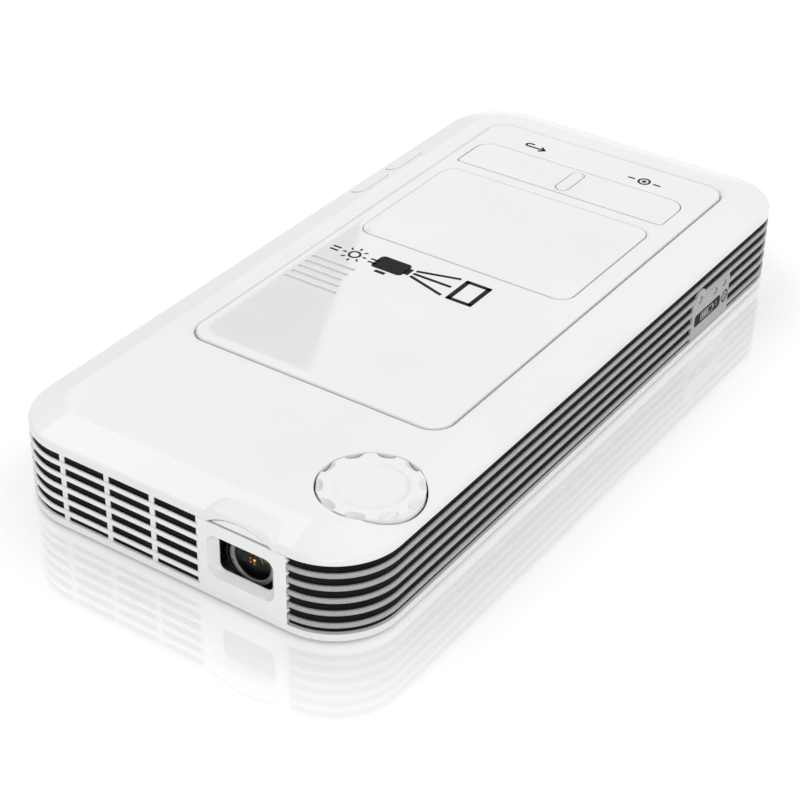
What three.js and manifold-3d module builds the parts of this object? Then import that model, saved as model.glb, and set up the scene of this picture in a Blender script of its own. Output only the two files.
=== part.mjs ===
// Pocket projector: a flat case with a focus dial, a touch pad and a rocker key on top.
// Millimetres. The front (lens) side faces -Y, the right side +X, the top +Z.
// The origin is the middle of the footprint, at the level the feet stand on.
import * as THREE from "three";
import { mergeVertices } from "three/addons/utils/BufferGeometryUtils.js";
import Module from "manifold-3d";

const wasm = await Module();
wasm.setup();

// ---- Case ----
const bodyWidth = 64;
const bodyLength = 132.4;
const coverTop = 16.8;
const cornerRadius = 11;
const footProud = 0.5;
const sideWall = 1.5;
const bandWall = 1.8;
const floorWall = 1.2;
const roofWall = 1.5;
const trayWallHeight = 1.35;
const coverRimBottom = 13.7;
const bevelStart = 14.9;
const bevelInset = 5.5;

// ---- Clearances ----
const seam = 0.15;
const fitGap = 0.3;
const overshoot = 1;

// ---- Grooves and vent slots ----
const grooveCount = 6;
const groovePitch = 2.15;
const grooveHeight = 1.05;
const grooveDepth = 1;
const ventPitch = 8.5;
const ventPillar = 1.25;
const ventToWindow = 1.55;
const sidePieceReach = 18;

// ---- Lens, window and hood ----
const lensFromRight = 19.25;
const lensFloorGap = 0.9;
const windowWidth = 11.6;
const windowHeight = 7.2;
const windowRadius = 1.6;
const windowMiddleZ = 8;
const funnelInset = 1.2;
const barrelRadius = 4.6;
const barrelWall = 0.5;
const barrelLength = 12.5;
const lensBarrelGap = 0.2;
const lensRingWidth = 0.9;
const lensBulge = 0.7;
const lensEdge = 1.2;
const rodRadius = 0.6;
const rodGap = 1.5;
const carriageDepth = 4.4;
const focusTravel = 0.75;
const hoodRadius = 10.1;
const hoodHeight = 1.8;
const hoodLip = 0.7;
const hoodDepth = 8;
const hoodPocketDepth = 1.1;

// ---- Focus dial ----
const dialFromRight = 8.8;
const dialFromFront = 16.4;
const dialRadius = 7.7;
const dialThickness = 1.9;
const dialProud = 0.15;
const dialGap = 0.25;
const dishRadius = 5.35;
const dishDepth = 0.3;
const scallopCount = 10;
const dialHalfTurn = THREE.MathUtils.degToRad(60);
const camRadius = 6.3;
const camThickness = 1.6;
const camPinRadius = 0.6;
const camPinOffset = 4;
const hubRadius = 2;
const hubHeight = 2.5;
const spindleRadius = 1.2;

// ---- Top panel, touch pad, rocker key and volume keys ----
const panelMargin = { left: 9.1, right: 8.1, front: 32.5, back: 9.4 };
const panelRadius = 3.5;
const panelProud = 0.2;
const panelThickness = 1;
const panelLedge = 2;
const padMargin = { left: 2.5, right: 3.8 };
const padLength = 28.2;
const padRadius = 2.5;
const padThickness = 0.45;
const padSunk = 0.1;
const padToKey = 2.8;
const keyMargin = { left: 2.3, right: 3.5, back: 8.4 };
const keyLength = 9.2;
const keyRadius = 3;
const keyFrontRadius = 0.6;
const keyThickness = 1.3;
const keySunk = 0.15;
const keyGap = 0.25;
const pillLength = 7.4;
const pillWidth = 2.3;
const pivotRadius = 0.4;
const pivotGap = 0.2;
const domeRadius = 1.6;
const domeFromMiddle = 16;
const soundSlotCount = 5;
const soundSlotPitch = 1.9;
const soundSlotWidth = 0.8;
const soundSlotLength = 8.6;
const soundSlotGrowth = 0.9;
const soundSlotFromPanel = 1.5;
const soundSlotFromPad = 11.5;
const volumeKeyLength = 8.4;
const volumeKeyWidth = 2.9;
const volumeKeyThickness = 1.5;
const volumeKeyProud = 0.2;
const volumeKeysFromBack = { volume_down_key: 41.8, volume_up_key: 31.3 };

// ---- Plate with lights and badges in the right side ----
const plateFromBack = 35.8;
const plateLength = 13.4;
const lightRadius = 0.55;
const lightPlacesOnPlate = [{ along: 2.7, z: 9.2 }, { along: 8.3, z: 8.3 }, { along: 11.6, z: 8.3 }];
const lightHaloRadius = 2;
const badge = { along: 5.7, z: 5.6, length: 9.2, height: 2.1, radius: 0.6, depth: 0.5 };
const powerMark = { along: 11.95, z: 5.6, radius: 1.15 };

// ---- Sockets on the left side ----
const roundPorts = {
  dc_inlet: { fromFront: 59.85, radius: 2.4 },
  av_jack: { fromFront: 65.35, radius: 2 },
  headphone_jack: { fromFront: 81.5, radius: 2 },
};
const usbPort = { fromFront: 72, width: 7.4, height: 3.4 };
const portCorner = 0.6;
const socketHeight = 5;
const socketLength = 7.4;
const socketWall = 0.3;

// ---- Inside ----
const batteryWidth = 40;
const batteryFromBack = 24.2;
const batteryThickness = 5;
const batteryFromLeft = 4;
const boardThickness = 1;
const boardZ = 7.5;
const fanSize = 28;
const fanHeight = 8;
const fanFromLeft = 16;
const fanFromFront = 33.2;
const fanHubRadius = 5;
const bladeCount = 9;
const finCount = 8;
const finThickness = 0.8;
const finHeight = 9;
const engineWidth = 18;
const engineLength = 26;
const engineHeight = 9.5;
const engineWall = 1.2;
const ledModuleThickness = 1.1;
const speakerWidth = 12;
const speakerLength = 10;
const speakerHeight = 3.4;

// ---- Feet and screws ----
const footRadius = 3.2;
const footThickness = 0.9;
const footInset = 9;
const screwHeadRadius = 1.6;
const screwShankRadius = 0.8;
const screwLength = 9;
const screwInset = 7.2;
const bossRadius = 2.3;
const bossBore = 1.1;

// ---- Levels and edges that follow from them ----
const halfWidth = bodyWidth / 2;
const halfLength = bodyLength / 2;
const frontFace = -halfLength;
const shellBottom = footProud;
const floorTop = shellBottom + floorWall;
const insideBottom = floorTop + fitGap;
const trayTop = shellBottom + trayWallHeight;
const wallBottom = trayTop + seam;
const wallTop = coverRimBottom - seam;
const ceiling = coverTop - roofWall;
const panelTop = coverTop + panelProud;
const bevelRise = coverTop - bevelStart;
const bevelAngle = Math.atan2(bevelRise, bevelInset);

const lensX = halfWidth - lensFromRight;
const lensZ = insideBottom + lensFloorGap + barrelRadius;
const lensRadius = barrelRadius - barrelWall - lensBarrelGap;
const ventRight = lensX - windowWidth / 2 - ventToWindow;
const fasciaRight = halfWidth - cornerRadius - fitGap;
const dialX = halfWidth - dialFromRight;
const dialY = frontFace + dialFromFront;

const panelLeft = -halfWidth + panelMargin.left;
const panelRight = halfWidth - panelMargin.right;
const panelFront = frontFace + panelMargin.front;
const panelBack = halfLength - panelMargin.back;
const keyLeft = panelLeft + keyMargin.left;
const keyRight = panelRight - keyMargin.right;
const keyBack = panelBack - keyMargin.back;
const keyFront = keyBack - keyLength;
const padLeft = panelLeft + padMargin.left;
const padRight = panelRight - padMargin.right;
const padBack = keyFront - padToKey;
const padFront = padBack - padLength;
const soundSlotLeft = panelLeft + soundSlotFromPanel;
const soundSlotBack = padFront - soundSlotFromPad;

const plateFront = halfLength - plateFromBack;
const plateBack = plateFront + plateLength;
const lightPlaces = lightPlacesOnPlate.map(({ along, z }) => ({ y: plateFront + along, z }));
const badgeY = plateFront + badge.along;
const powerY = plateFront + powerMark.along;
const portZ = boardZ + boardThickness + socketHeight / 2 + fitGap;
const usbY = frontFace + usbPort.fromFront;

// ---- Materials ----
const finish = (color, roughness, metalness = 0) =>
  new THREE.MeshStandardMaterial({ color, roughness, metalness });
const whiteGloss = finish("#f1f1f1", 0.25);
const whiteSatin = finish("#e6e6e8", 0.45);
const greySatin = finish("#9b9c9f", 0.4);
const blackPlastic = finish("#15161a", 0.5);
const darkRubber = finish("#2a2b2d", 0.9);
const steel = finish("#a7a9ac", 0.35, 1);
const aluminium = finish("#b9bbbd", 0.45, 1);
const lensGlass = finish("#1c2b2a", 0.05);
const boardGreen = finish("#1f5a3a", 0.6);
const foilSilver = finish("#8f9296", 0.5, 0.6);

// ---- Solids: three.js geometry in, closed solid out ----
function solidOf(geometry) {
  const bare = geometry.index ? geometry.toNonIndexed() : geometry.clone();
  bare.deleteAttribute("normal");
  bare.deleteAttribute("uv");
  const merged = mergeVertices(bare, 1e-4);
  const corners = merged.index.array;
  const kept = [];
  for (let i = 0; i < corners.length; i += 3) {
    const [a, b, c] = [corners[i], corners[i + 1], corners[i + 2]];
    if (a !== b && b !== c && a !== c) kept.push(a, b, c);
  }
  return new wasm.Manifold(new wasm.Mesh({
    numProp: 3,
    vertProperties: new Float32Array(merged.attributes.position.array),
    triVerts: new Uint32Array(kept),
  }));
}

function geometryOf(solid) {
  const mesh = solid.getMesh();
  const geometry = new THREE.BufferGeometry();
  geometry.setAttribute("position", new THREE.BufferAttribute(mesh.vertProperties, 3));
  geometry.setIndex(new THREE.BufferAttribute(mesh.triVerts, 1));
  geometry.computeVertexNormals();
  return geometry;
}

const cut = (solid, ...tools) => tools.reduce((rest, tool) => rest.subtract(tool), solid);
const join = (solid, ...others) => others.reduce((whole, other) => whole.add(other), solid);

// ---- Shapes ----
function box(x0, x1, y0, y1, z0, z1) {
  const geometry = new THREE.BoxGeometry(x1 - x0, y1 - y0, z1 - z0);
  geometry.translate((x0 + x1) / 2, (y0 + y1) / 2, (z0 + z1) / 2);
  return solidOf(geometry);
}

// Rounded rectangle; radius is one value, or [front right, back right, back left, front left].
function roundedRect(x0, x1, y0, y1, radius) {
  const [fr, br, bl, fl] = Array.isArray(radius) ? radius : [radius, radius, radius, radius];
  const shape = new THREE.Shape();
  shape.moveTo(x0 + fl, y0);
  shape.absarc(x1 - fr, y0 + fr, fr, -Math.PI / 2, 0);
  shape.absarc(x1 - br, y1 - br, br, 0, Math.PI / 2);
  shape.absarc(x0 + bl, y1 - bl, bl, Math.PI / 2, Math.PI);
  shape.absarc(x0 + fl, y0 + fl, fl, Math.PI, 1.5 * Math.PI);
  shape.closePath();
  return shape;
}

const caseOutline = (inset) => roundedRect(
  -halfWidth + inset, halfWidth - inset, -halfLength + inset, halfLength - inset,
  Math.max(cornerRadius - inset, 1));

function slab(shape, z0, z1, curveSegments = 5) {
  const geometry = new THREE.ExtrudeGeometry(shape, { depth: z1 - z0, bevelEnabled: false, curveSegments });
  geometry.translate(0, 0, z0);
  return solidOf(geometry);
}

// A shape drawn in X and Z, extruded from y0 back to y1.
function frontSlab(shape, y0, y1, curveSegments = 6) {
  const geometry = new THREE.ExtrudeGeometry(shape, { depth: y1 - y0, bevelEnabled: false, curveSegments });
  geometry.rotateX(Math.PI / 2);
  geometry.translate(0, y1, 0);
  return solidOf(geometry);
}

// A shape drawn in Y and Z, extruded from x0 to x1.
function sideSlab(shape, x0, x1, curveSegments = 6) {
  const geometry = new THREE.ExtrudeGeometry(shape, { depth: x1 - x0, bevelEnabled: false, curveSegments });
  const turn = new THREE.Matrix4().makeBasis(
    new THREE.Vector3(0, 1, 0), new THREE.Vector3(0, 0, 1), new THREE.Vector3(1, 0, 0));
  geometry.applyMatrix4(turn);
  geometry.translate(x0, 0, 0);
  return solidOf(geometry);
}

function upright(x, y, radius, z0, z1, sides = 20) {
  const geometry = new THREE.CylinderGeometry(radius, radius, z1 - z0, sides);
  geometry.rotateX(Math.PI / 2);
  geometry.translate(x, y, (z0 + z1) / 2);
  return solidOf(geometry);
}

function alongY(x, z, radius, y0, y1, sides = 20) {
  const geometry = new THREE.CylinderGeometry(radius, radius, y1 - y0, sides);
  geometry.translate(x, (y0 + y1) / 2, z);
  return solidOf(geometry);
}

function alongX(y, z, radius, x0, x1, sides = 20) {
  const geometry = new THREE.CylinderGeometry(radius, radius, x1 - x0, sides);
  geometry.rotateZ(Math.PI / 2);
  geometry.translate((x0 + x1) / 2, y, z);
  return solidOf(geometry);
}

// A block whose sides run up, then slope in to a smaller top, as the case does.
function bevelledBlock(inset, z0, shoulder, top, slopeInset) {
  const geometry = new THREE.ExtrudeGeometry(caseOutline(inset + slopeInset), {
    depth: shoulder - z0 + overshoot,
    bevelEnabled: true,
    bevelThickness: top - shoulder,
    bevelSize: slopeInset,
    bevelSegments: 1,
    curveSegments: 5,
  });
  geometry.translate(0, 0, z0 - overshoot);
  const block = solidOf(geometry);
  return cut(block, box(-bodyWidth, bodyWidth, -bodyLength, bodyLength, z0 - bodyWidth, z0));
}

// ---- The wall ring and what is cut in it ----
const wallRing = (outerInset, innerInset, z0, z1) =>
  cut(slab(caseOutline(outerInset), z0, z1), slab(caseOutline(innerInset), z0 - overshoot, z1 + overshoot));

const grooveTop = (row) => coverRimBottom - row * groovePitch;

// One row's ring-shaped cutter, from outside the case down to the given inset.
const rowCutter = (row, depth) =>
  wallRing(-overshoot, depth, grooveTop(row) - grooveHeight, grooveTop(row));

const leftOfFascia = () =>
  join(
    box(-halfWidth - overshoot, fasciaRight, frontFace - overshoot, frontFace + cornerRadius, 0, coverTop),
    box(-halfWidth - overshoot, 0, frontFace - overshoot, frontFace + sidePieceReach, 0, coverTop));

const mirrored = (solid) => solid.mirror([0, 1, 0]);

// ---- Top cover ----
const bevelPoint = (y, along) => new THREE.Vector3(
  -halfWidth + along * Math.cos(bevelAngle), y, bevelStart + along * Math.sin(bevelAngle));

// Turns a slab drawn about the origin so that it lies in the left bevel, around the given place.
function onLeftBevel(solid, y) {
  const place = bevelPoint(y, bevelInset / 2 / Math.cos(bevelAngle));
  const tilted = solid.rotate([0, -THREE.MathUtils.radToDeg(bevelAngle), 0]);
  return tilted.translate([place.x, place.y, place.z]);
}

const volumeOutline = (grow) => roundedRect(
  -volumeKeyWidth / 2 - grow, volumeKeyWidth / 2 + grow,
  -volumeKeyLength / 2 - grow, volumeKeyLength / 2 + grow, volumeKeyWidth / 2 - 0.3 + grow);

function hoodOutline(grow) {
  const middleZ = coverRimBottom + hoodHeight - hoodRadius;
  const radius = hoodRadius + grow;
  const half = Math.acos((coverRimBottom - grow - middleZ) / radius);
  const shape = new THREE.Shape();
  shape.absarc(lensX, middleZ, radius, Math.PI / 2 - half, Math.PI / 2 + half);
  shape.closePath();
  return shape;
}

const screwPlaces = () => [-1, 1].flatMap((side) => [-1, 1].map((end) => ({
  x: side * (halfWidth - screwInset),
  y: end * (halfLength - screwInset),
})));

function topCover() {
  const outside = join(
    bevelledBlock(0, coverRimBottom, bevelStart, coverTop, bevelInset),
    frontSlab(hoodOutline(hoodLip), frontFace, frontFace + hoodDepth)
      .subtract(box(-bodyWidth, bodyWidth, -bodyLength, bodyLength, 0, coverRimBottom)));
  const inside = bevelledBlock(
    sideWall, coverRimBottom - overshoot, bevelStart - roofWall / 2, ceiling, bevelInset);
  const bosses = screwPlaces().map(({ x, y }) => cut(
    upright(x, y, bossRadius, screwLength / 2 + fitGap * 2 + shellBottom, ceiling, 12),
    upright(x, y, bossBore, 0, ceiling - 1, 8)));
  const hollow = cut(outside, inside);
  const recess = slab(
    roundedRect(panelLeft - seam, panelRight + seam, panelFront - seam, panelBack + seam, panelRadius + seam),
    panelTop - panelThickness - seam, coverTop + overshoot);
  const opening = slab(
    roundedRect(panelLeft + panelLedge, panelRight - panelLedge, panelFront + panelLedge,
      panelBack - panelLedge, panelRadius), ceiling - overshoot, coverTop);
  const dialHole = upright(dialX, dialY, dialRadius + dialGap, ceiling - 3, coverTop + overshoot, 32);
  const volumeHoles = Object.values(volumeKeysFromBack).map((fromBack) =>
    onLeftBevel(slab(volumeOutline(keyGap), -volumeKeyThickness * 2, overshoot, 3), halfLength - fromBack));
  const hoodPocket = frontSlab(hoodOutline(0), frontFace - overshoot, frontFace + hoodPocketDepth);
  return cut(join(hollow, ...bosses), recess, opening, dialHole, ...volumeHoles, hoodPocket);
}

const hoodTrim = () => cut(
  frontSlab(hoodOutline(-seam), frontFace + seam, frontFace + hoodPocketDepth - seam),
  box(-bodyWidth, bodyWidth, -bodyLength, 0, 0, coverRimBottom + seam));

// ---- Bottom shell ----
function bottomShell() {
  const block = slab(caseOutline(0), shellBottom, trayTop);
  const inside = slab(caseOutline(sideWall), floorTop, trayTop + overshoot);
  const feet = footPlaces().map(({ x, y }) =>
    upright(x, y, footRadius + seam, 0, footThickness + seam, 16));
  const posts = screwPlaces().map(({ x, y }) =>
    upright(x, y, bossRadius, shellBottom + floorWall / 2, screwLength / 2 + fitGap + shellBottom, 12));
  const bores = screwPlaces().map(({ x, y }) => join(
    upright(x, y, screwShankRadius + fitGap, 0, screwLength, 8),
    upright(x, y, screwHeadRadius + fitGap, 0, shellBottom + 1.5, 12)));
  return cut(join(cut(block, inside), ...posts), ...feet, ...bores);
}

const footPlaces = () => [-1, 1].flatMap((side) => [-1, 1].map((end) => ({
  x: side * (halfWidth - footInset),
  y: end * (halfLength - footInset - bossRadius - footRadius - 1.5),
})));

// ---- Front fascia: vent slots, lens window ----
function ventCutters() {
  const cutters = [];
  const corner = { x: -halfWidth + cornerRadius, y: frontFace + cornerRadius };
  for (let row = 0; row < grooveCount; row += 1) {
    const ring = rowCutter(row, sideWall + overshoot);
    const z0 = grooveTop(row) - grooveHeight - overshoot;
    const z1 = grooveTop(row) + overshoot;
    const pillars = [];
    for (let x = ventRight - ventPitch; x > corner.x - ventPillar; x -= ventPitch) {
      pillars.push(box(x - ventPillar / 2, x + ventPillar / 2, frontFace - 3, corner.y, z0, z1));
    }
    const lastX = ventRight - ventPitch * Math.floor((ventRight - corner.x + ventPillar) / ventPitch);
    for (let step = 1; step <= 2; step += 1) {
      const angle = (corner.x - lastX + step * ventPitch) / cornerRadius;
      const pillar = box(-ventPillar / 2, ventPillar / 2, -cornerRadius - 3, 0, z0, z1)
        .rotate([0, 0, -THREE.MathUtils.radToDeg(angle)])
        .translate([corner.x, corner.y, 0]);
      pillars.push(pillar);
    }
    const reach = join(
      box(-halfWidth - 2, ventRight, frontFace - 2, corner.y, z0, z1),
      box(-halfWidth - 2, corner.x, frontFace - 2, -halfLength + sidePieceReach - 2, z0, z1));
    cutters.push(cut(ring.intersect(reach), ...pillars));
  }
  return cutters;
}

const windowOutline = (inset) => roundedRect(
  lensX - windowWidth / 2 + inset, lensX + windowWidth / 2 - inset,
  windowMiddleZ - windowHeight / 2 + inset, windowMiddleZ + windowHeight / 2 - inset * 0.3,
  Math.max(windowRadius - inset * 0.4, 0.6));

function frontFascia() {
  const wall = wallRing(0, sideWall, wallBottom, wallTop).intersect(leftOfFascia());
  const opening = frontSlab(
    windowOutline(funnelInset), frontFace - overshoot, frontFace + sideWall + overshoot, 3);
  const steps = 2;
  const funnel = [];
  for (let step = 0; step < steps; step += 1) {
    const inset = (funnelInset * (step + 0.5)) / steps;
    const depth = (sideWall * 0.9 * (step + 1)) / steps;
    funnel.push(frontSlab(windowOutline(inset), frontFace - overshoot, frontFace + depth, 3));
  }
  return cut(wall, opening, ...funnel, ...ventCutters());
}

const ventScreen = () => wallRing(sideWall + fitGap, sideWall + fitGap + 0.5, wallBottom, wallTop - fitGap)
  .intersect(box(-bodyWidth, ventRight + 0.3, -bodyLength, -halfLength + sidePieceReach, 0, coverTop));

// ---- Ribbed band along the right side ----
const badgeOutline = (grow) => roundedRect(
  badgeY - badge.length / 2 - grow, badgeY + badge.length / 2 + grow,
  badge.z - badge.height / 2 - grow, badge.z + badge.height / 2 + grow, badge.radius + grow);

function sideRibBand() {
  const wall = cut(wallRing(0, bandWall, wallBottom, wallTop), box(
    -bodyWidth, fasciaRight + seam, -bodyLength, bodyLength, 0, coverTop));
  const plate = join(
    box(halfWidth - 3, halfWidth + 3, plateFront, plateBack, grooveTop(4) - grooveHeight, grooveTop(2)),
    alongX(lightPlaces[0].y, lightPlaces[0].z, lightHaloRadius, halfWidth - 3, halfWidth + 3, 24));
  const grooves = [];
  for (let row = 0; row < grooveCount; row += 1) {
    const start = box(fasciaRight - 2, bodyWidth, -bodyLength, bodyLength, 0, coverTop);
    grooves.push(cut(rowCutter(row, grooveDepth).intersect(start), plate));
  }
  const lights = lightPlaces.map(({ y, z }) =>
    alongX(y, z, lightRadius + seam, halfWidth - 3, halfWidth + overshoot, 12));
  const badgePocket = sideSlab(badgeOutline(seam), halfWidth - badge.depth - seam, halfWidth + overshoot, 3);
  const powerPocket = alongX(powerY, powerMark.z, powerMark.radius + seam,
    halfWidth - badge.depth - seam, halfWidth + overshoot);
  return cut(wall, ...grooves, ...lights, badgePocket, powerPocket);
}

// ---- Rear panel and left side panel ----
function rearPanel() {
  const wall = mirrored(wallRing(0, sideWall, wallBottom, wallTop).intersect(leftOfFascia()));
  const slots = [];
  for (let row = 1; row < grooveCount - 1; row += 1) {
    for (let column = 0; column < 4; column += 1) {
      const x0 = -ventPitch * 2 + column * ventPitch + ventPillar / 2;
      slots.push(box(x0, x0 + ventPitch - ventPillar, halfLength - 3, halfLength + overshoot,
        grooveTop(row) - grooveHeight, grooveTop(row)));
    }
  }
  return cut(wall, ...slots);
}

const usbOutline = (grow) => roundedRect(
  usbY - usbPort.width / 2 - grow, usbY + usbPort.width / 2 + grow,
  portZ - usbPort.height / 2 - grow, portZ + usbPort.height / 2 + grow, portCorner);

function leftPortPanel() {
  const wall = wallRing(0, sideWall, wallBottom, wallTop).intersect(box(
    -bodyWidth, 0, -halfLength + sidePieceReach + seam, halfLength - sidePieceReach - seam, 0, coverTop));
  const holes = Object.values(roundPorts).map(({ fromFront, radius }) =>
    alongX(frontFace + fromFront, portZ, radius, -halfWidth - overshoot, -halfWidth + 3));
  return cut(wall, ...holes, sideSlab(usbOutline(0), -halfWidth - overshoot, -halfWidth + 3, 3));
}

const socketFace = -halfWidth + sideWall + fitGap;

function roundSocket({ fromFront, radius }) {
  const y = frontFace + fromFront;
  const half = radius + socketWall;
  const body = box(socketFace, socketFace + socketLength, y - half, y + half,
    boardZ + boardThickness + fitGap, boardZ + boardThickness + fitGap + socketHeight);
  const socketEnd = socketFace + socketLength - 1;
  return cut(body, alongX(y, portZ, radius - socketWall, socketFace - overshoot, socketEnd));
}

const usbSocket = () => cut(
  sideSlab(usbOutline(socketWall), socketFace, socketFace + socketLength, 3),
  sideSlab(usbOutline(-socketWall), socketFace - overshoot, socketFace + socketLength - 1, 3));

// ---- Top panel, touch pad, keys ----
function topPanel() {
  const plate = slab(
    roundedRect(panelLeft, panelRight, panelFront, panelBack, panelRadius),
    panelTop - panelThickness, panelTop);
  const padPocket = slab(
    roundedRect(padLeft - seam, padRight + seam, padFront - seam, padBack + seam, padRadius + seam),
    panelTop - padSunk - padThickness - seam, panelTop + overshoot);
  const keyHole = slab(keyOutline(keyGap), panelTop - 2, panelTop + overshoot);
  const slots = [];
  for (let slot = 0; slot < soundSlotCount; slot += 1) {
    const y = soundSlotBack - slot * soundSlotPitch;
    const length = soundSlotLength + Math.max(slot - 2, 0) * soundSlotGrowth;
    const outline = roundedRect(
      soundSlotLeft, soundSlotLeft + length, y - soundSlotWidth / 2, y + soundSlotWidth / 2, 0.35);
    slots.push(slab(outline, panelTop - 2, panelTop + overshoot, 2));
  }
  return cut(plate, padPocket, keyHole, ...slots);
}

const keyOutline = (grow) => roundedRect(
  keyLeft - grow, keyRight + grow, keyFront - grow, keyBack + grow,
  [keyFrontRadius + grow, keyRadius + grow, keyRadius + grow, keyFrontRadius + grow]);

const touchPad = () => slab(
  roundedRect(padLeft, padRight, padFront, padBack, padRadius),
  panelTop - padSunk - padThickness, panelTop - padSunk);

const keyTop = panelTop - keySunk;
const keyMiddleX = (keyLeft + keyRight) / 2;
const keyMiddleY = (keyFront + keyBack) / 2;
const pivotZ = keyTop - keyThickness - pivotGap;

function rockerKey() {
  const bar = slab(keyOutline(0), keyTop - keyThickness, keyTop);
  const pill = slab(roundedRect(keyMiddleX - pillWidth / 2, keyMiddleX + pillWidth / 2,
    keyMiddleY - pillLength / 2, keyMiddleY + pillLength / 2, pillWidth / 2), keyTop - 0.2, panelTop, 5);
  const saddle = box(keyMiddleX - 1.5, keyMiddleX + 1.5, keyFront + 2, keyBack - 2,
    pivotZ - 0.5, keyTop - keyThickness / 2);
  const bore = alongY(keyMiddleX, pivotZ, pivotRadius + pivotGap, keyFront, keyBack, 14);
  const mouthHalf = pivotRadius + pivotGap;
  const mouth = box(keyMiddleX - mouthHalf, keyMiddleX + mouthHalf, keyFront, keyBack, pivotZ - 2, pivotZ);
  return cut(join(bar, pill, saddle), bore, mouth);
}

const rockerPivotPin = () => alongY(
  keyMiddleX, pivotZ, pivotRadius, keyFront + 0.5, keyBack - 0.5, 12);

const volumeKey = (fromBack) => onLeftBevel(
  slab(volumeOutline(0), -volumeKeyThickness, volumeKeyProud, 3), halfLength - fromBack);

// ---- Focus dial and its scroll cam ----
const dialTop = coverTop + dialProud;
const camTop = dialTop - dialThickness - fitGap;
const camBottom = camTop - camThickness;

function focusDial() {
  const disc = upright(dialX, dialY, dialRadius, dialTop - dialThickness, dialTop, 32);
  const dish = new THREE.CylinderGeometry(dishRadius, dishRadius - 0.6, dishDepth * 2, 24);
  dish.rotateX(Math.PI / 2);
  dish.translate(dialX, dialY, dialTop);
  const scallops = [];
  for (let i = 0; i < scallopCount; i += 1) {
    const angle = ((i + 0.3) / scallopCount) * 2 * Math.PI;
    const scoop = new THREE.SphereGeometry(1, 6, 4);
    scoop.scale(0.7, 1.7, 0.5);
    scoop.translate(dialRadius - 0.85, 0, dialTop);
    scoop.rotateZ(angle);
    scoop.translate(dialX, dialY, 0);
    scallops.push(solidOf(scoop));
  }
  return cut(disc, solidOf(dish), ...scallops,
    upright(dialX, dialY, spindleRadius + fitGap, 0, dialTop - 0.8, 16));
}

// Radius of the cam groove where the dial, turned by an angle, meets the follower pin.
const camRise = focusTravel / dialHalfTurn;

function camGroove() {
  const half = camPinRadius + fitGap;
  const steps = 18;
  const span = dialHalfTurn + half / (camPinOffset - focusTravel);
  const outer = [];
  const inner = [];
  for (let i = 0; i <= steps; i += 1) {
    const turn = -span + (2 * span * i) / steps;
    const radius = camPinOffset - camRise * turn;
    const heading = -Math.PI / 2 - turn;
    const ray = new THREE.Vector2(Math.cos(heading), Math.sin(heading));
    outer.push(ray.clone().multiplyScalar(radius + half));
    inner.unshift(ray.clone().multiplyScalar(radius - half));
  }
  const shape = new THREE.Shape([...outer, ...inner].map((point) =>
    new THREE.Vector2(point.x + dialX, point.y + dialY)));
  return slab(shape, camBottom - overshoot, camTop + overshoot);
}

function focusCam() {
  const disc = upright(dialX, dialY, camRadius, camBottom, camTop, 24);
  const hub = upright(dialX, dialY, hubRadius, camBottom - hubHeight, camTop, 20);
  return cut(join(disc, hub), camGroove(),
    upright(dialX, dialY, spindleRadius + fitGap, 0, coverTop, 16));
}

const dialSpindle = () => join(
  upright(dialX, dialY, spindleRadius, insideBottom, dialTop - 1.2, 16),
  upright(dialX, dialY, hubRadius, insideBottom, camBottom - hubHeight - fitGap, 16));

// ---- Lens group ----
const barrelFront = frontFace + sideWall + focusTravel + fitGap;
const barrelBack = barrelFront + barrelLength;
const pinY = dialY - camPinOffset;
const rodOffset = barrelRadius + rodRadius + rodGap;
const rodZ = lensZ - barrelRadius + 1;
const carriageEdge = 0.8;
const carriageHalf = rodOffset + rodRadius + carriageEdge;

function lensBarrel() {
  const tube = alongY(lensX, lensZ, barrelRadius, barrelFront, barrelBack, 24);
  return cut(tube, alongY(
    lensX, lensZ, barrelRadius - barrelWall, barrelFront - overshoot, barrelBack + overshoot, 24));
}

function lensCarriage() {
  const front = pinY - carriageDepth / 2;
  const ring = alongY(lensX, lensZ, barrelRadius + carriageEdge, front, front + carriageDepth, 24);
  const foot = box(lensX - carriageHalf, lensX + carriageHalf, front, front + carriageDepth,
    rodZ - rodRadius - carriageEdge, rodZ + rodRadius + carriageEdge);
  const armTop = camBottom - fitGap;
  const arm = box(lensX + 2, dialX + camPinRadius + 0.4, front, pinY + camPinRadius + 0.6,
    armTop - 1.2, armTop);
  const riser = box(lensX + 2, lensX + barrelRadius + carriageEdge, front, front + carriageDepth,
    lensZ, armTop);
  const pin = upright(dialX, pinY, camPinRadius, armTop - 1, camTop - 0.3, 12);
  const bore = alongY(lensX, lensZ, barrelRadius + fitGap, -bodyLength, 0, 24);
  const rodBores = [-1, 1].map((side) =>
    alongY(lensX + side * rodOffset, rodZ, rodRadius + fitGap, -bodyLength, 0, 12));
  return cut(join(ring, foot, arm, riser, pin), bore, ...rodBores);
}

const guideRod = (side) => alongY(
  lensX + side * rodOffset, rodZ, rodRadius, barrelFront + 1, engineFront - fitGap, 10);

function lensRing() {
  const ring = alongY(lensX, lensZ, lensRadius, barrelFront + 0.3, barrelFront + 1.8, 24);
  const aperture = alongY(lensX, lensZ, lensRadius - lensRingWidth + seam, -bodyLength, 0, 24);
  return cut(ring, aperture);
}

// A biconvex lens: flat edge between two shallow caps.
function lensElement(yMiddle, radius) {
  const profile = [];
  const steps = 3;
  const cap = (sign) => {
    for (let i = 0; i <= steps; i += 1) {
      const share = sign > 0 ? i / steps : 1 - i / steps;
      const bulge = lensBulge * Math.cos((share * Math.PI) / 2);
      profile.push(new THREE.Vector2(radius * share, sign * (lensEdge / 2 + bulge)));
    }
  };
  cap(1);
  cap(-1);
  const geometry = new THREE.LatheGeometry(profile.reverse(), 18);
  geometry.translate(lensX, yMiddle, lensZ);
  return solidOf(geometry);
}

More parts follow.
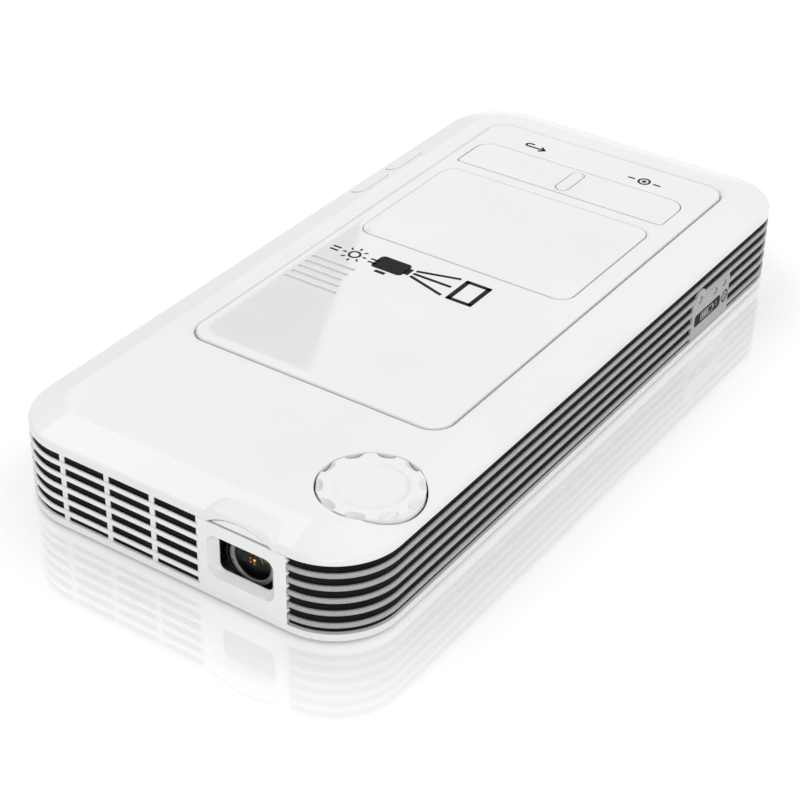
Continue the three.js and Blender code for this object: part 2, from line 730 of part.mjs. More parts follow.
// ---- Optical engine ----
const engineFront = barrelBack + focusTravel + 3;
const engineBack = engineFront + engineLength;
const engineLeft = lensX - engineWidth / 2;
const engineRight = lensX + engineWidth / 2;
const engineBottom = insideBottom;
const engineTop = engineBottom + engineHeight;

function engineHousing() {
  const block = box(engineLeft, engineRight, engineFront, engineBack, engineBottom, engineTop);
  const inside = box(engineLeft + engineWall, engineRight - engineWall, engineFront + engineWall,
    engineBack - engineWall, engineBottom + engineWall, engineTop + overshoot);
  const lensPort = alongY(lensX, lensZ, 3.2, engineFront - overshoot, engineFront + engineWall + overshoot);
  return cut(block, inside, lensPort);
}

const engineLid = () => box(
  engineLeft, engineRight, engineFront, engineBack, engineTop + seam, engineTop + seam + 1);

const prismBlock = () => box(lensX - 4, lensX + 4, engineFront + 3, engineFront + 11,
  engineBottom + engineWall + fitGap, engineTop - fitGap);

const mirrorChip = () => box(lensX - 5, lensX + 5, engineFront + 11.5, engineFront + 13,
  engineBottom + engineWall + fitGap, engineTop - 1);

function ledModule(x0, x1, y0, y1, lampAxis) {
  const star = box(x0, x1, y0, y1, engineBottom, engineTop - 1);
  const middle = [(x0 + x1) / 2, (y0 + y1) / 2, (engineBottom + engineTop) / 2];
  const lamp = box(middle[0] - 1.2, middle[0] + 1.2, middle[1] - 1.2, middle[1] + 1.2, middle[2] - 1.2,
    middle[2] + 1.2).translate(lampAxis.map((share) => share * 0.7));
  return join(star, lamp);
}

// ---- Cooling ----
const fanX = -halfWidth + fanFromLeft;
const fanY = frontFace + fanFromFront;
const fanFloor = 1;
const rotorBottom = insideBottom + fanFloor + 0.6;
const rotorHeight = fanHeight - fanFloor - 1.2;

function heatSink() {
  const x0 = -halfWidth + sideWall + 3;
  const x1 = ventRight - 2;
  const y0 = frontFace + sideWall + 4.5;
  const y1 = fanY - fanSize / 2 - 1;
  const base = box(x0, x1, y0, y1, insideBottom, insideBottom + 1);
  const fins = [];
  for (let fin = 0; fin < finCount; fin += 1) {
    const x = x0 + ((x1 - x0 - finThickness) * fin) / (finCount - 1);
    fins.push(box(x, x + finThickness, y0, y1, insideBottom + 0.5, insideBottom + finHeight));
  }
  return join(base, ...fins).subtract(
    upright(-halfWidth + screwInset, frontFace + screwInset, bossRadius + 1, 0, coverTop, 16));
}

function fanFrame() {
  const z0 = insideBottom;
  const block = slab(roundedRect(fanX - fanSize / 2, fanX + fanSize / 2, fanY - fanSize / 2,
    fanY + fanSize / 2, 2), z0, z0 + fanHeight, 3);
  const well = upright(fanX, fanY, fanSize / 2 - 1.2, z0 + fanFloor, z0 + fanHeight + overshoot, 24);
  const outlet = box(fanX - fanSize / 2 + 3, fanX + 2, fanY - fanSize, fanY - fanHubRadius,
    z0 + fanFloor, z0 + fanHeight + overshoot);
  const post = upright(fanX, fanY, 1, z0 + 0.5, z0 + 3, 12);
  return join(cut(block, well, outlet), post);
}

function fanRotor() {
  const z0 = rotorBottom;
  const hub = upright(fanX, fanY, fanHubRadius, z0, z0 + rotorHeight, 16);
  const blades = [];
  for (let i = 0; i < bladeCount; i += 1) {
    const blade = box(fanHubRadius - 0.5, fanSize / 2 - 2.4, -0.35, 0.35, z0 + 0.4, z0 + rotorHeight - 0.4)
      .rotate([0, 0, (360 * i) / bladeCount])
      .translate([fanX, fanY, 0]);
    blades.push(blade);
  }
  return cut(join(hub, ...blades), upright(fanX, fanY, 1.3, 0, z0 + 2.4, 12));
}

// ---- Battery, boards, speaker ----
const batteryX = -halfWidth + batteryFromLeft + batteryWidth / 2;
const batteryFront = fanY + fanSize / 2 + 3;
const batteryBack = halfLength - batteryFromBack;

const batteryPack = () => slab(roundedRect(batteryX - batteryWidth / 2, batteryX + batteryWidth / 2,
  batteryFront, batteryBack, 2.4), insideBottom, insideBottom + batteryThickness, 4);

function mainBoard() {
  const y0 = batteryFront + 1;
  const y1 = halfLength - screwInset - bossRadius - 0.8;
  const x1 = halfWidth - sideWall - 3.5;
  const top = boardZ + boardThickness;
  const plate = box(-halfWidth + sideWall + 0.5, x1, y0, y1, boardZ, top);
  const chips = [
    box(x1 - 25, x1 - 13, y0 + 20, y0 + 32, top - 0.3, top + 1.4),
    box(x1 - 33, x1 - 27, y0 + 36, y0 + 44, top - 0.3, top + 1.1),
    box(x1 - 11, x1 - 3, y0 + 8, y0 + 14, top - 0.3, top + 1.8),
    box(x1 - 31, x1 - 17, y1 - 9, y1 - 4, top - 0.3, top + 2.2),
  ];
  return join(plate, ...chips);
}

function keyBoard() {
  const top = ceiling - 1.9;
  const plate = box(keyLeft + 1, keyRight - 1, padFront + 2, keyBack + 1, top - 0.7, top);
  const domes = [-1, 1].map((side) => upright(
    keyMiddleX + side * domeFromMiddle, keyMiddleY, domeRadius, top - 0.3, top + 0.7, 12));
  const pinSeats = [keyFront + 1.1, keyBack - 1.1].map((y) => box(
    keyMiddleX - 0.6, keyMiddleX + 0.6, y - 0.5, y + 0.5, top - 0.3, pivotZ - pivotRadius - 0.05));
  return join(plate, ...domes, ...pinSeats);
}

function speaker() {
  const x = soundSlotLeft + 5.2;
  const y = soundSlotBack - ((soundSlotCount - 1) / 2) * soundSlotPitch;
  const top = ceiling - 2 * fitGap;
  const outline = (inset) => roundedRect(
    x - speakerWidth / 2 + inset, x + speakerWidth / 2 - inset,
    y - speakerLength / 2 + inset, y + speakerLength / 2 - inset, 3 - inset / 2);
  const frame = slab(outline(0), top - speakerHeight, top, 4);
  const cone = slab(outline(1), top - 0.8, top + overshoot, 4);
  const cap = upright(x, y, 2, top - 1.4, top - 0.3, 16);
  return join(cut(frame, cone), cap);
}

// ---- Feet, screws, lights ----
const foot = ({ x, y }) => upright(x, y, footRadius, 0, footThickness, 16);

function caseScrew({ x, y }) {
  const headBottom = shellBottom + 0.4;
  const head = upright(x, y, screwHeadRadius, headBottom, headBottom + 0.8, 12);
  const shank = upright(x, y, screwShankRadius, headBottom + 0.5, headBottom + screwLength, 8);
  const recess = box(x - 0.9, x + 0.9, y - 0.2, y + 0.2, 0, headBottom + 0.4);
  const crossRecess = box(x - 0.2, x + 0.2, y - 0.9, y + 0.9, 0, headBottom + 0.4);
  return cut(join(head, shank), recess, crossRecess);
}

const statusLight = ({ y, z }) => alongX(y, z, lightRadius, halfWidth - 2.2, halfWidth - 0.1, 10);

const chargeBadge = () => sideSlab(badgeOutline(0), halfWidth - badge.depth, halfWidth - 0.05, 3);

const powerBadge = () => alongX(
  powerY, powerMark.z, powerMark.radius, halfWidth - badge.depth, halfWidth - 0.05);

// ---- Assembly ----
const projector = new THREE.Group();

function add(name, solid, material) {
  const mesh = new THREE.Mesh(geometryOf(solid), material);
  mesh.name = name;
  projector.add(mesh);
}

add("top_cover", topCover(), whiteGloss);
add("hood_trim", hoodTrim(), whiteSatin);
add("bottom_shell", bottomShell(), whiteGloss);
add("front_fascia", frontFascia(), whiteSatin);
add("vent_screen", ventScreen(), blackPlastic);
add("side_rib_band", sideRibBand(), greySatin);
add("rear_panel", rearPanel(), whiteSatin);
add("left_port_panel", leftPortPanel(), whiteSatin);
add("top_panel", topPanel(), whiteGloss);
add("touch_pad", touchPad(), whiteSatin);
add("rocker_key", rockerKey(), whiteSatin);
add("rocker_pivot_pin", rockerPivotPin(), steel);
for (const [name, fromBack] of Object.entries(volumeKeysFromBack)) add(name, volumeKey(fromBack), whiteGloss);

add("focus_dial", focusDial(), whiteGloss);
add("focus_cam", focusCam(), blackPlastic);
add("dial_spindle", dialSpindle(), steel);
add("lens_carriage", lensCarriage(), blackPlastic);
add("lens_barrel", lensBarrel(), blackPlastic);
add("lens_ring", lensRing(), greySatin);
add("front_lens", lensElement(barrelFront + 2.9, lensRadius), lensGlass);
add("rear_lens", lensElement(barrelBack - 2, lensRadius), lensGlass);
add("guide_rod_left", guideRod(-1), steel);
add("guide_rod_right", guideRod(1), steel);

add("engine_housing", engineHousing(), blackPlastic);
add("engine_lid", engineLid(), aluminium);
add("prism_block", prismBlock(), lensGlass);
add("mirror_chip", mirrorChip(), foilSilver);
add("red_led_module",
  ledModule(engineLeft - fitGap - ledModuleThickness, engineLeft - fitGap,
    engineFront + 14, engineFront + 22, [-1, 0, 0]), aluminium);
add("blue_led_module",
  ledModule(engineRight + fitGap, engineRight + fitGap + ledModuleThickness,
    engineFront + 14, engineFront + 22, [1, 0, 0]), aluminium);
add("green_led_module",
  ledModule(lensX - 4, lensX + 4,
    engineBack + fitGap, engineBack + fitGap + ledModuleThickness, [0, 1, 0]), aluminium);

add("heat_sink", heatSink(), aluminium);
add("fan_frame", fanFrame(), blackPlastic);
add("fan_rotor", fanRotor(), blackPlastic);
add("battery_pack", batteryPack(), foilSilver);
add("main_board", mainBoard(), boardGreen);
add("key_board", keyBoard(), boardGreen);
add("speaker", speaker(), blackPlastic);

for (const [name, port] of Object.entries(roundPorts)) add(`${name}_socket`, roundSocket(port), blackPlastic);
add("mini_usb_socket", usbSocket(), steel);

footPlaces().forEach((place, i) => add(`rubber_foot_${i + 1}`, foot(place), darkRubber));
screwPlaces().forEach((place, i) => add(`case_screw_${i + 1}`, caseScrew(place), steel));
lightPlaces.forEach((place, i) => add(`status_light_${i + 1}`, statusLight(place), lensGlass));
add("charge_badge", chargeBadge(), blackPlastic);
add("power_badge", powerBadge(), blackPlastic);

export default projector;
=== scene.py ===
# A pocket projector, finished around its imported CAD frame.
# Settings are in millimetres, meshes in metres; the lens looks along -Y, the ribbed side faces +X.
import bpy
import bmesh
import math
from mathutils import Matrix, Vector


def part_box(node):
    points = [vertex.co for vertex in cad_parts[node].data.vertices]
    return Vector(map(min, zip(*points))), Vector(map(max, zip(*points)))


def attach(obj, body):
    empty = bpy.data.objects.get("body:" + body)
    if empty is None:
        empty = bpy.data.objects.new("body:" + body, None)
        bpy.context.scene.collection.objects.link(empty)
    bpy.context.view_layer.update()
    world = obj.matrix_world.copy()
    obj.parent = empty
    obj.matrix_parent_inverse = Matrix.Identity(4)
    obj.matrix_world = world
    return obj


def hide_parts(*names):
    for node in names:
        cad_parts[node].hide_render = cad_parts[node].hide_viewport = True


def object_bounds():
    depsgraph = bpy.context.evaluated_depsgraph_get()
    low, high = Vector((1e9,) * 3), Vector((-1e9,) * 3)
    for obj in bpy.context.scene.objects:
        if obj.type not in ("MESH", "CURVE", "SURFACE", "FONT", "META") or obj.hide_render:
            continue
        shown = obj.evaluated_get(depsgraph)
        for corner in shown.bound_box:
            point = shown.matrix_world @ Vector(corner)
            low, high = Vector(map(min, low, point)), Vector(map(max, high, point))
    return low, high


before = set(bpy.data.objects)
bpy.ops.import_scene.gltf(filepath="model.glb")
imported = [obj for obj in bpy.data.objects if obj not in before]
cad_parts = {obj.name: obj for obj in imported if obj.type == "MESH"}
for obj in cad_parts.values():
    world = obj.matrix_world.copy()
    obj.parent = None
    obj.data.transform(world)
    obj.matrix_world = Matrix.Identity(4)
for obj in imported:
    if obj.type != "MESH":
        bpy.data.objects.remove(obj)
cadLow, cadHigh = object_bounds()
mm = 0.001
print("frame loaded:", len(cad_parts), "nodes")


camera = {
    "place": (152.35, -235.12, 182.58),
    "turn": (56.142, -0.795, 34.446),  # degrees about X, Y and Z
    "lens": 91.28,
    "sensor": 36,
}


def placeCamera():
    data = bpy.data.cameras.new("camera")
    data.lens = camera["lens"]
    data.sensor_width = camera["sensor"]
    data.clip_start = 0.01
    data.clip_end = 10
    seer = bpy.data.objects.new("camera", data)
    seer.location = Vector(camera["place"]) * mm
    seer.rotation_euler = [math.radians(angle) for angle in camera["turn"]]
    bpy.context.scene.collection.objects.link(seer)
    bpy.context.scene.camera = seer


placeCamera()


def span(node):  # a CAD node's box in millimetres: x0, y0, z0, x1, y1, z1
    low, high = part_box(node)
    return [value / mm for value in (*low, *high)]


def newPiece(name, points, faces, edges=()):
    mesh = bpy.data.meshes.new(name)
    mesh.from_pydata([Vector(point) * mm for point in points], list(edges), faces)
    piece = bpy.data.objects.new(name, mesh)
    bpy.context.scene.collection.objects.link(piece)
    return piece


def turnedOut(piece):  # doubles merged, every face pointing out of its solid
    form = bmesh.new()
    form.from_mesh(piece.data)
    bmesh.ops.remove_doubles(form, verts=form.verts, dist=1e-7)
    bmesh.ops.recalc_face_normals(form, faces=form.faces)
    form.to_mesh(piece.data)
    form.free()
    return piece


def applied(piece):  # what the modifiers make becomes the piece's own plain mesh
    graph = bpy.context.evaluated_depsgraph_get()
    mesh = bpy.data.meshes.new_from_object(piece.evaluated_get(graph), depsgraph=graph)
    piece.modifiers.clear()
    piece.data = mesh
    mesh.name = piece.name
    return piece


def cutWith(piece, *tools, operation="DIFFERENCE"):
    for tool in tools:
        change = piece.modifiers.new("cut", "BOOLEAN")
        change.operation = operation
        change.solver = "EXACT"
        change.object = tool
    applied(piece)
    for tool in tools:
        bpy.data.objects.remove(tool)
    return piece


def joined(name, *pieces):  # one mesh out of several closed bodies
    form = bmesh.new()
    for piece in pieces:
        form.from_mesh(piece.data)
        bpy.data.objects.remove(piece)
    whole = newPiece(name, [], [])
    form.to_mesh(whole.data)
    form.free()
    return whole


def roundedPath(corners, radii, steps=5):  # a flat path whose inner corners become arcs
    path = [Vector(corners[0])]
    for before, here, after, radius in zip(corners, corners[1:], corners[2:], radii):
        corner = Vector(here)
        back, on = (Vector(before) - corner), (Vector(after) - corner)
        half = back.angle(on) / 2
        reach = min(radius / math.tan(half), back.length * 0.49, on.length * 0.49)
        start, end = corner + back.normalized() * reach, corner + on.normalized() * reach
        middle = (back.normalized() + on.normalized()).normalized()
        centre = corner + middle * (reach / math.cos(half))
        first = math.atan2(*(start - centre).yx)
        sweep = math.atan2(*(end - centre).yx) - first
        sweep = (sweep + math.pi) % (2 * math.pi) - math.pi
        arm = (start - centre).length
        for step in range(steps + 1):
            angle = first + sweep * step / steps
            path.append(centre + Vector((math.cos(angle), math.sin(angle))) * arm)
    path.append(Vector(corners[-1]))
    return path


# radius is one number, or front right, back right, back left and front left
def roundedLoop(x0, x1, y0, y1, radius, steps=12):
    fr, br, bl, fl = radius if isinstance(radius, (list, tuple)) else [radius] * 4
    corners = [(x1 - fr, y0 + fr, fr, -90), (x1 - br, y1 - br, br, 0),
               (x0 + bl, y1 - bl, bl, 90), (x0 + fl, y0 + fl, fl, 180)]
    loop = []
    for x, y, arm, start in corners:
        for step in range(steps + 1):
            angle = math.radians(start + 90 * step / steps)
            loop.append((x + arm * math.cos(angle), y + arm * math.sin(angle)))
    return loop


def loft(name, loops, closed=False):  # skins equal loops of points in order; closed joins last to first
    count = len(loops[0])
    points = [point for loop in loops for point in loop]
    pairs = [(i, i + 1) for i in range(len(loops) - 1)] + ([(len(loops) - 1, 0)] if closed else [])
    faces = [(a * count + i, a * count + (i + 1) % count, b * count + (i + 1) % count, b * count + i)
             for a, b in pairs for i in range(count)]
    if not closed:
        faces.append(tuple(reversed(range(count))))
        faces.append(tuple((len(loops) - 1) * count + i for i in range(count)))
    return turnedOut(newPiece(name, points, faces))


def slab(name, box, radius, z0, z1, low=0.1, top=0.2, steps=12):  # rounded plate with rounded edges
    x0, x1, y0, y1 = box
    radii = radius if isinstance(radius, (list, tuple)) else [radius] * 4
    profile = roundedPath([(low * 2, z0), (0, z0), (0, z1), (top * 3, z1)], [low, top])
    loops = []
    for inset, z in profile:
        shrunk = [max(value - inset, 0.02) for value in radii]
        loop = roundedLoop(x0 + inset, x1 - inset, y0 + inset, y1 - inset, shrunk, steps)
        loops.append([(x, y, z) for x, y in loop])
    return loft(name, loops)


# profile is a list of (radius, distance along the axis)
def lathe(name, profile, centre, axis="Z", steps=64, closed=False):
    frames = {"X": (Vector((0, 1, 0)), Vector((0, 0, 1)), Vector((1, 0, 0))),
              "Y": (Vector((0, 0, 1)), Vector((1, 0, 0)), Vector((0, 1, 0))),
              "Z": (Vector((1, 0, 0)), Vector((0, 1, 0)), Vector((0, 0, 1)))}
    u, v, along = frames[axis]
    loops = []
    for radius, distance in profile:
        ring = []
        for step in range(steps):
            angle = 2 * math.pi * step / steps
            arm = u * math.cos(angle) + v * math.sin(angle)
            ring.append(Vector(centre) + arm * max(radius, 0.001) + along * distance)
        loops.append(ring)
    return loft(name, loops, closed)


def shaded(piece, material, angle=32, weighted=True):
    piece.data.materials.clear()
    piece.data.materials.append(material)
    piece.data.shade_smooth()
    piece.data.set_sharp_from_angle(angle=math.radians(angle))
    if weighted:
        even = piece.modifiers.new("even shading", "WEIGHTED_NORMAL")
        even.keep_sharp = True
        applied(piece)
    return piece


def addNode(tree, kind, inputs=None, **settings):
    made = tree.nodes.new(kind)
    for key, value in settings.items():
        setattr(made, key, value)
    for key, value in (inputs or {}).items():
        if isinstance(value, bpy.types.NodeSocket):
            tree.links.new(value, made.inputs[key])
        else:
            made.inputs[key].default_value = value
    return made


# The case outline: straight sides joined by four equal round corners.
caseFront, caseBack = cadLow.y / mm, cadHigh.y / mm
caseRight, caseLeft = cadHigh.x / mm, cadLow.x / mm
outline = {"corner": 11, "cornerSteps": 28}


def caseLoop(inset, z):
    radius = max(outline["corner"] - inset, 0.5)
    loop = roundedLoop(caseLeft + inset, caseRight - inset, caseFront + inset, caseBack - inset, radius,
                       outline["cornerSteps"])
    return [(x, y, z) for x, y in loop]


# walk is the distance along the outline from the middle of the front, rightwards
def outlinePoint(walk, inset):
    corner = outline["corner"]
    straights = [caseRight - corner, caseBack - caseFront - 2 * corner, caseRight - caseLeft - 2 * corner,
                 caseBack - caseFront - 2 * corner, caseRight - corner]
    arc = corner * math.pi / 2
    total = sum(straights) + 4 * arc
    left = walk % total
    place, heading = Vector((0, caseFront)), 0
    for index, straight in enumerate(straights):
        ahead = Vector((math.cos(heading), math.sin(heading)))
        if left <= straight or index == 4:
            return place + ahead * left + Vector((-ahead.y, ahead.x)) * inset
        place, left = place + ahead * straight, left - straight
        inward = Vector((-ahead.y, ahead.x))
        centre = place + inward * corner
        if left <= arc:
            turn = heading + left / corner
            return centre + Vector((math.sin(turn), -math.cos(turn))) * (corner - inset)
        heading += math.pi / 2
        left -= arc
        place = centre + Vector((math.sin(heading), -math.cos(heading))) * corner


def outlineRun(start, end, inset, step=0.6):
    count = max(int(abs(end - start) / step), 1)
    return [outlinePoint(start + (end - start) * i / count, inset) for i in range(count + 1)]


def sweepRun(name, start, end, section, step=0.6):  # section: closed list of (inset, z)
    runs = [outlineRun(start, end, inset, step) for inset, z in section]
    heights = [z for inset, z in section]
    loops = [[(run[i].x, run[i].y, z) for run, z in zip(runs, heights)] for i in range(len(runs[0]))]
    return loft(name, loops)


def barSection(inset0, inset1, z0, z1, outer=0.15):  # a bar's section with rounded outer edges
    path = roundedPath([(inset1, z0), (inset0, z0), (inset0, z1), (inset1, z1)], [outer, outer], 4)
    return [tuple(point) for point in path]


def newTree(name, inputs):
    tree = bpy.data.node_groups.new(name, "GeometryNodeTree")
    tree.interface.new_socket("Geometry", in_out="INPUT", socket_type="NodeSocketGeometry")
    tree.interface.new_socket("Geometry", in_out="OUTPUT", socket_type="NodeSocketGeometry")
    for label, (kind, start) in inputs.items():
        made = tree.interface.new_socket(label, in_out="INPUT", socket_type="NodeSocket" + kind)
        if start is not None:
            made.default_value = start
    return tree, addNode(tree, "NodeGroupInput").outputs


def endTree(tree, geometry, material):
    real = addNode(tree, "GeometryNodeRealizeInstances", {"Geometry": geometry})
    coated = addNode(tree, "GeometryNodeSetMaterial", {"Geometry": real.outputs[0], "Material": material})
    addNode(tree, "NodeGroupOutput", {"Geometry": coated.outputs[0]})
    return tree


def gridCopiesTree():  # the piece's own mesh, repeated in rows and columns
    tree, given = newTree("grid copies", {
        "Columns": ("Int", 1), "Column Step": ("Vector", (0, 0, 0)),
        "Rows": ("Int", 1), "Row Step": ("Vector", (0, 0, 0)), "Material": ("Material", None)})
    columns = addNode(tree, "GeometryNodeMeshLine", {
        "Count": given["Columns"], "Offset": given["Column Step"]})
    onColumns = addNode(tree, "GeometryNodeInstanceOnPoints", {
        "Points": columns.outputs[0], "Instance": given["Geometry"]})
    oneRow = addNode(tree, "GeometryNodeRealizeInstances", {"Geometry": onColumns.outputs[0]})
    rows = addNode(tree, "GeometryNodeMeshLine", {"Count": given["Rows"], "Offset": given["Row Step"]})
    onRows = addNode(tree, "GeometryNodeInstanceOnPoints", {
        "Points": rows.outputs[0], "Instance": oneRow.outputs[0]})
    return endTree(tree, onRows.outputs[0], given["Material"])


def ringCopiesTree():  # the piece's own mesh, repeated round a vertical axis
    tree, given = newTree("ring copies", {
        "Count": ("Int", 8), "Centre": ("Vector", (0, 0, 0)), "First Angle": ("Float", 0.0),
        "Material": ("Material", None)})
    spots = addNode(tree, "GeometryNodeMeshLine", {
        "Count": given["Count"], "Start Location": given["Centre"], "Offset": (0, 0, 0)})
    index = addNode(tree, "GeometryNodeInputIndex")
    share = addNode(tree, "ShaderNodeMath", {0: index.outputs[0], 1: given["Count"]}, operation="DIVIDE")
    turn = addNode(tree, "ShaderNodeMath", {
        0: share.outputs[0], 1: 2 * math.pi, 2: given["First Angle"]}, operation="MULTIPLY_ADD")
    spin = addNode(tree, "ShaderNodeCombineXYZ", {"Z": turn.outputs[0]})
    copies = addNode(tree, "GeometryNodeInstanceOnPoints", {
        "Points": spots.outputs[0], "Instance": given["Geometry"], "Rotation": spin.outputs[0]})
    return endTree(tree, copies.outputs[0], given["Material"])


def ribRunTree():  # ribs swept along the piece's own line of points, one below the other
    tree, given = newTree("rib run", {
        "Rib Depth": ("Float", 0.001), "Rib Height": ("Float", 0.001), "Edge Radius": ("Float", 0.0002),
        "Ribs": ("Int", 5), "Pitch": ("Float", 0.002), "Material": ("Material", None)})
    path = addNode(tree, "GeometryNodeMeshToCurve", {"Mesh": given["Geometry"]})
    bar = addNode(tree, "GeometryNodeCurvePrimitiveQuadrilateral", {
        "Width": given["Rib Depth"], "Height": given["Rib Height"]})
    softened = addNode(tree, "GeometryNodeFilletCurve", {
        "Curve": bar.outputs[0], "Radius": given["Edge Radius"], "Count": 4}, mode="POLY")
    swept = addNode(tree, "GeometryNodeCurveToMesh", {
        "Curve": path.outputs[0], "Profile Curve": softened.outputs[0], "Fill Caps": True})
    drop = addNode(tree, "ShaderNodeMath", {0: given["Pitch"], 1: -1.0}, operation="MULTIPLY")
    step = addNode(tree, "ShaderNodeCombineXYZ", {"Z": drop.outputs[0]})
    levels = addNode(tree, "GeometryNodeMeshLine", {"Count": given["Ribs"], "Offset": step.outputs[0]})
    copies = addNode(tree, "GeometryNodeInstanceOnPoints", {
        "Points": levels.outputs[0], "Instance": swept.outputs[0]})
    return endTree(tree, copies.outputs[0], given["Material"])


def postRunTree():  # upright posts at even steps along the piece's own line of points
    tree, given = newTree("post run", {
        "Posts": ("Int", 5), "Post Size": ("Vector", (0.001, 0.001, 0.001)),
        "Material": ("Material", None)})
    path = addNode(tree, "GeometryNodeMeshToCurve", {"Mesh": given["Geometry"]})
    spots = addNode(tree, "GeometryNodeCurveToPoints", {
        "Curve": path.outputs[0], "Count": given["Posts"]}, mode="COUNT")
    post = addNode(tree, "GeometryNodeMeshCube", {"Size": given["Post Size"]})
    copies = addNode(tree, "GeometryNodeInstanceOnPoints", {
        "Points": spots.outputs["Points"], "Instance": post.outputs[0],
        "Rotation": spots.outputs["Rotation"]})
    return endTree(tree, copies.outputs[0], given["Material"])


def grown(piece, tree, values):  # runs a tree on the piece and keeps the result as its mesh
    change = piece.modifiers.new(tree.name, "NODES")
    change.node_group = tree
    for item in tree.interface.items_tree:
        if item.in_out == "INPUT" and item.name in values:
            change[item.identifier] = values[item.name]
    return applied(piece)


def pathPiece(name, points):  # a bare line of points for a tree to follow
    return newPiece(name, points, [], [(i, i + 1) for i in range(len(points) - 1)])


gridCopies, ringCopies = gridCopiesTree(), ringCopiesTree()
ribRun, postRun = ribRunTree(), postRunTree()
print("trees ready")


def toLinear(hexColour):
    channels = [int(hexColour[i:i + 2], 16) / 255 for i in (1, 3, 5)]
    return (*[c / 12.92 if c <= 0.04045 else ((c + 0.055) / 1.055) ** 2.4 for c in channels], 1)


def perSize(size):  # texture scale for a pattern whose cells are this many millimetres wide
    return 1 / (size * mm)


def startMaterial(name):
    made = bpy.data.materials.new(name)
    made.use_nodes = True
    made.node_tree.nodes.clear()
    return made, made.node_tree, addNode(made.node_tree, "ShaderNodeTexCoord").outputs["Object"]


def endMaterial(tree, inputs):
    shader = addNode(tree, "ShaderNodeBsdfPrincipled", inputs)
    addNode(tree, "ShaderNodeOutputMaterial", {"Surface": shader.outputs[0]})


# slow colour drift, a crease tone masked by ambient occlusion (painted shade where it darkens, dust on the
# rubber where it lightens), handling haze, tool grain and sink waves
def mouldedPlastic(name, look):
    made, tree, place = startMaterial(name)
    flow = addNode(tree, "ShaderNodeTexNoise", {
        "Vector": place, "Scale": perSize(look["flow"]), "Detail": 3.0, "Roughness": 0.5})
    drift = addNode(tree, "ShaderNodeMapRange", {0: flow.outputs[0], 1: 0.35, 2: 0.65})
    tone = addNode(tree, "ShaderNodeMix", {
        0: drift.outputs[0], 6: toLinear(look["colour"]), 7: toLinear(look["shade"])}, data_type="RGBA")
    # painted shade: ambient occlusion pulls creases, recesses and joins toward the crease tone; only on the
    # rubber is that tone lighter, as dust
    crease = addNode(tree, "ShaderNodeAmbientOcclusion", {"Distance": look["creaseReach"] * mm}, samples=6)
    dustAndShadeAmount = addNode(tree, "ShaderNodeMapRange", {
        0: crease.outputs["AO"], 1: 0.15, 2: 0.75, 3: look["creaseDustAndShade"], 4: 0.0})
    dustAndShadeTone = addNode(tree, "ShaderNodeMix", {
        0: dustAndShadeAmount.outputs[0], 6: tone.outputs[2], 7: toLinear(look["dustAndShade"])}, data_type="RGBA")
    haze = addNode(tree, "ShaderNodeTexNoise", {
        "Vector": place, "Scale": perSize(look["haze"]), "Detail": 6.0, "Roughness": 0.62, "Distortion": 0.6})
    roughness = addNode(tree, "ShaderNodeMapRange", {
        0: haze.outputs[0], 1: 0.3, 2: 0.72, 3: look["roughness"][0], 4: look["roughness"][1]})
    grain = addNode(tree, "ShaderNodeTexNoise", {
        "Vector": place, "Scale": perSize(look["grain"]), "Detail": 2.0, "Roughness": 0.6})
    pitted = addNode(tree, "ShaderNodeBump", {
        "Height": grain.outputs[0], "Distance": look["grainHeight"] * mm, "Strength": 1.0})
    waves = addNode(tree, "ShaderNodeTexNoise", {
        "Vector": place, "Scale": perSize(look["wave"]), "Detail": 1.0})
    waved = addNode(tree, "ShaderNodeBump", {
        "Height": waves.outputs[0], "Distance": look["waveHeight"] * mm, "Strength": 1.0,
        "Normal": pitted.outputs[0]})
    endMaterial(tree, {
        "Base Color": dustAndShadeTone.outputs[2], "Roughness": roughness.outputs[0], "Normal": waved.outputs[0],
        "IOR": look["ior"], "Coat Weight": look["coat"], "Coat Roughness": look["coatRoughness"]})
    return made


def turnedMetal(name, look):  # tool lines drawn out along one axis, with darker oxide in the lows
    made, tree, place = startMaterial(name)
    drawn = addNode(tree, "ShaderNodeMapping", {"Vector": place, "Scale": look["drawn"]})
    lines = addNode(tree, "ShaderNodeTexNoise", {
        "Vector": drawn.outputs[0], "Scale": perSize(look["line"]), "Detail": 4.0, "Roughness": 0.6})
    patches = addNode(tree, "ShaderNodeTexNoise", {
        "Vector": place, "Scale": perSize(look["patch"]), "Detail": 3.0})
    tone = addNode(tree, "ShaderNodeMix", {
        0: patches.outputs[0], 6: toLinear(look["colour"]), 7: toLinear(look["oxide"])}, data_type="RGBA")
    roughness = addNode(tree, "ShaderNodeMapRange", {
        0: lines.outputs[0], 1: 0.3, 2: 0.7, 3: look["roughness"][0], 4: look["roughness"][1]})
    scored = addNode(tree, "ShaderNodeBump", {
        "Height": lines.outputs[0], "Distance": look["lineHeight"] * mm, "Strength": 1.0})
    endMaterial(tree, {
        "Base Color": tone.outputs[2], "Metallic": 1.0, "Roughness": roughness.outputs[0],
        "Normal": scored.outputs[0]})
    return made


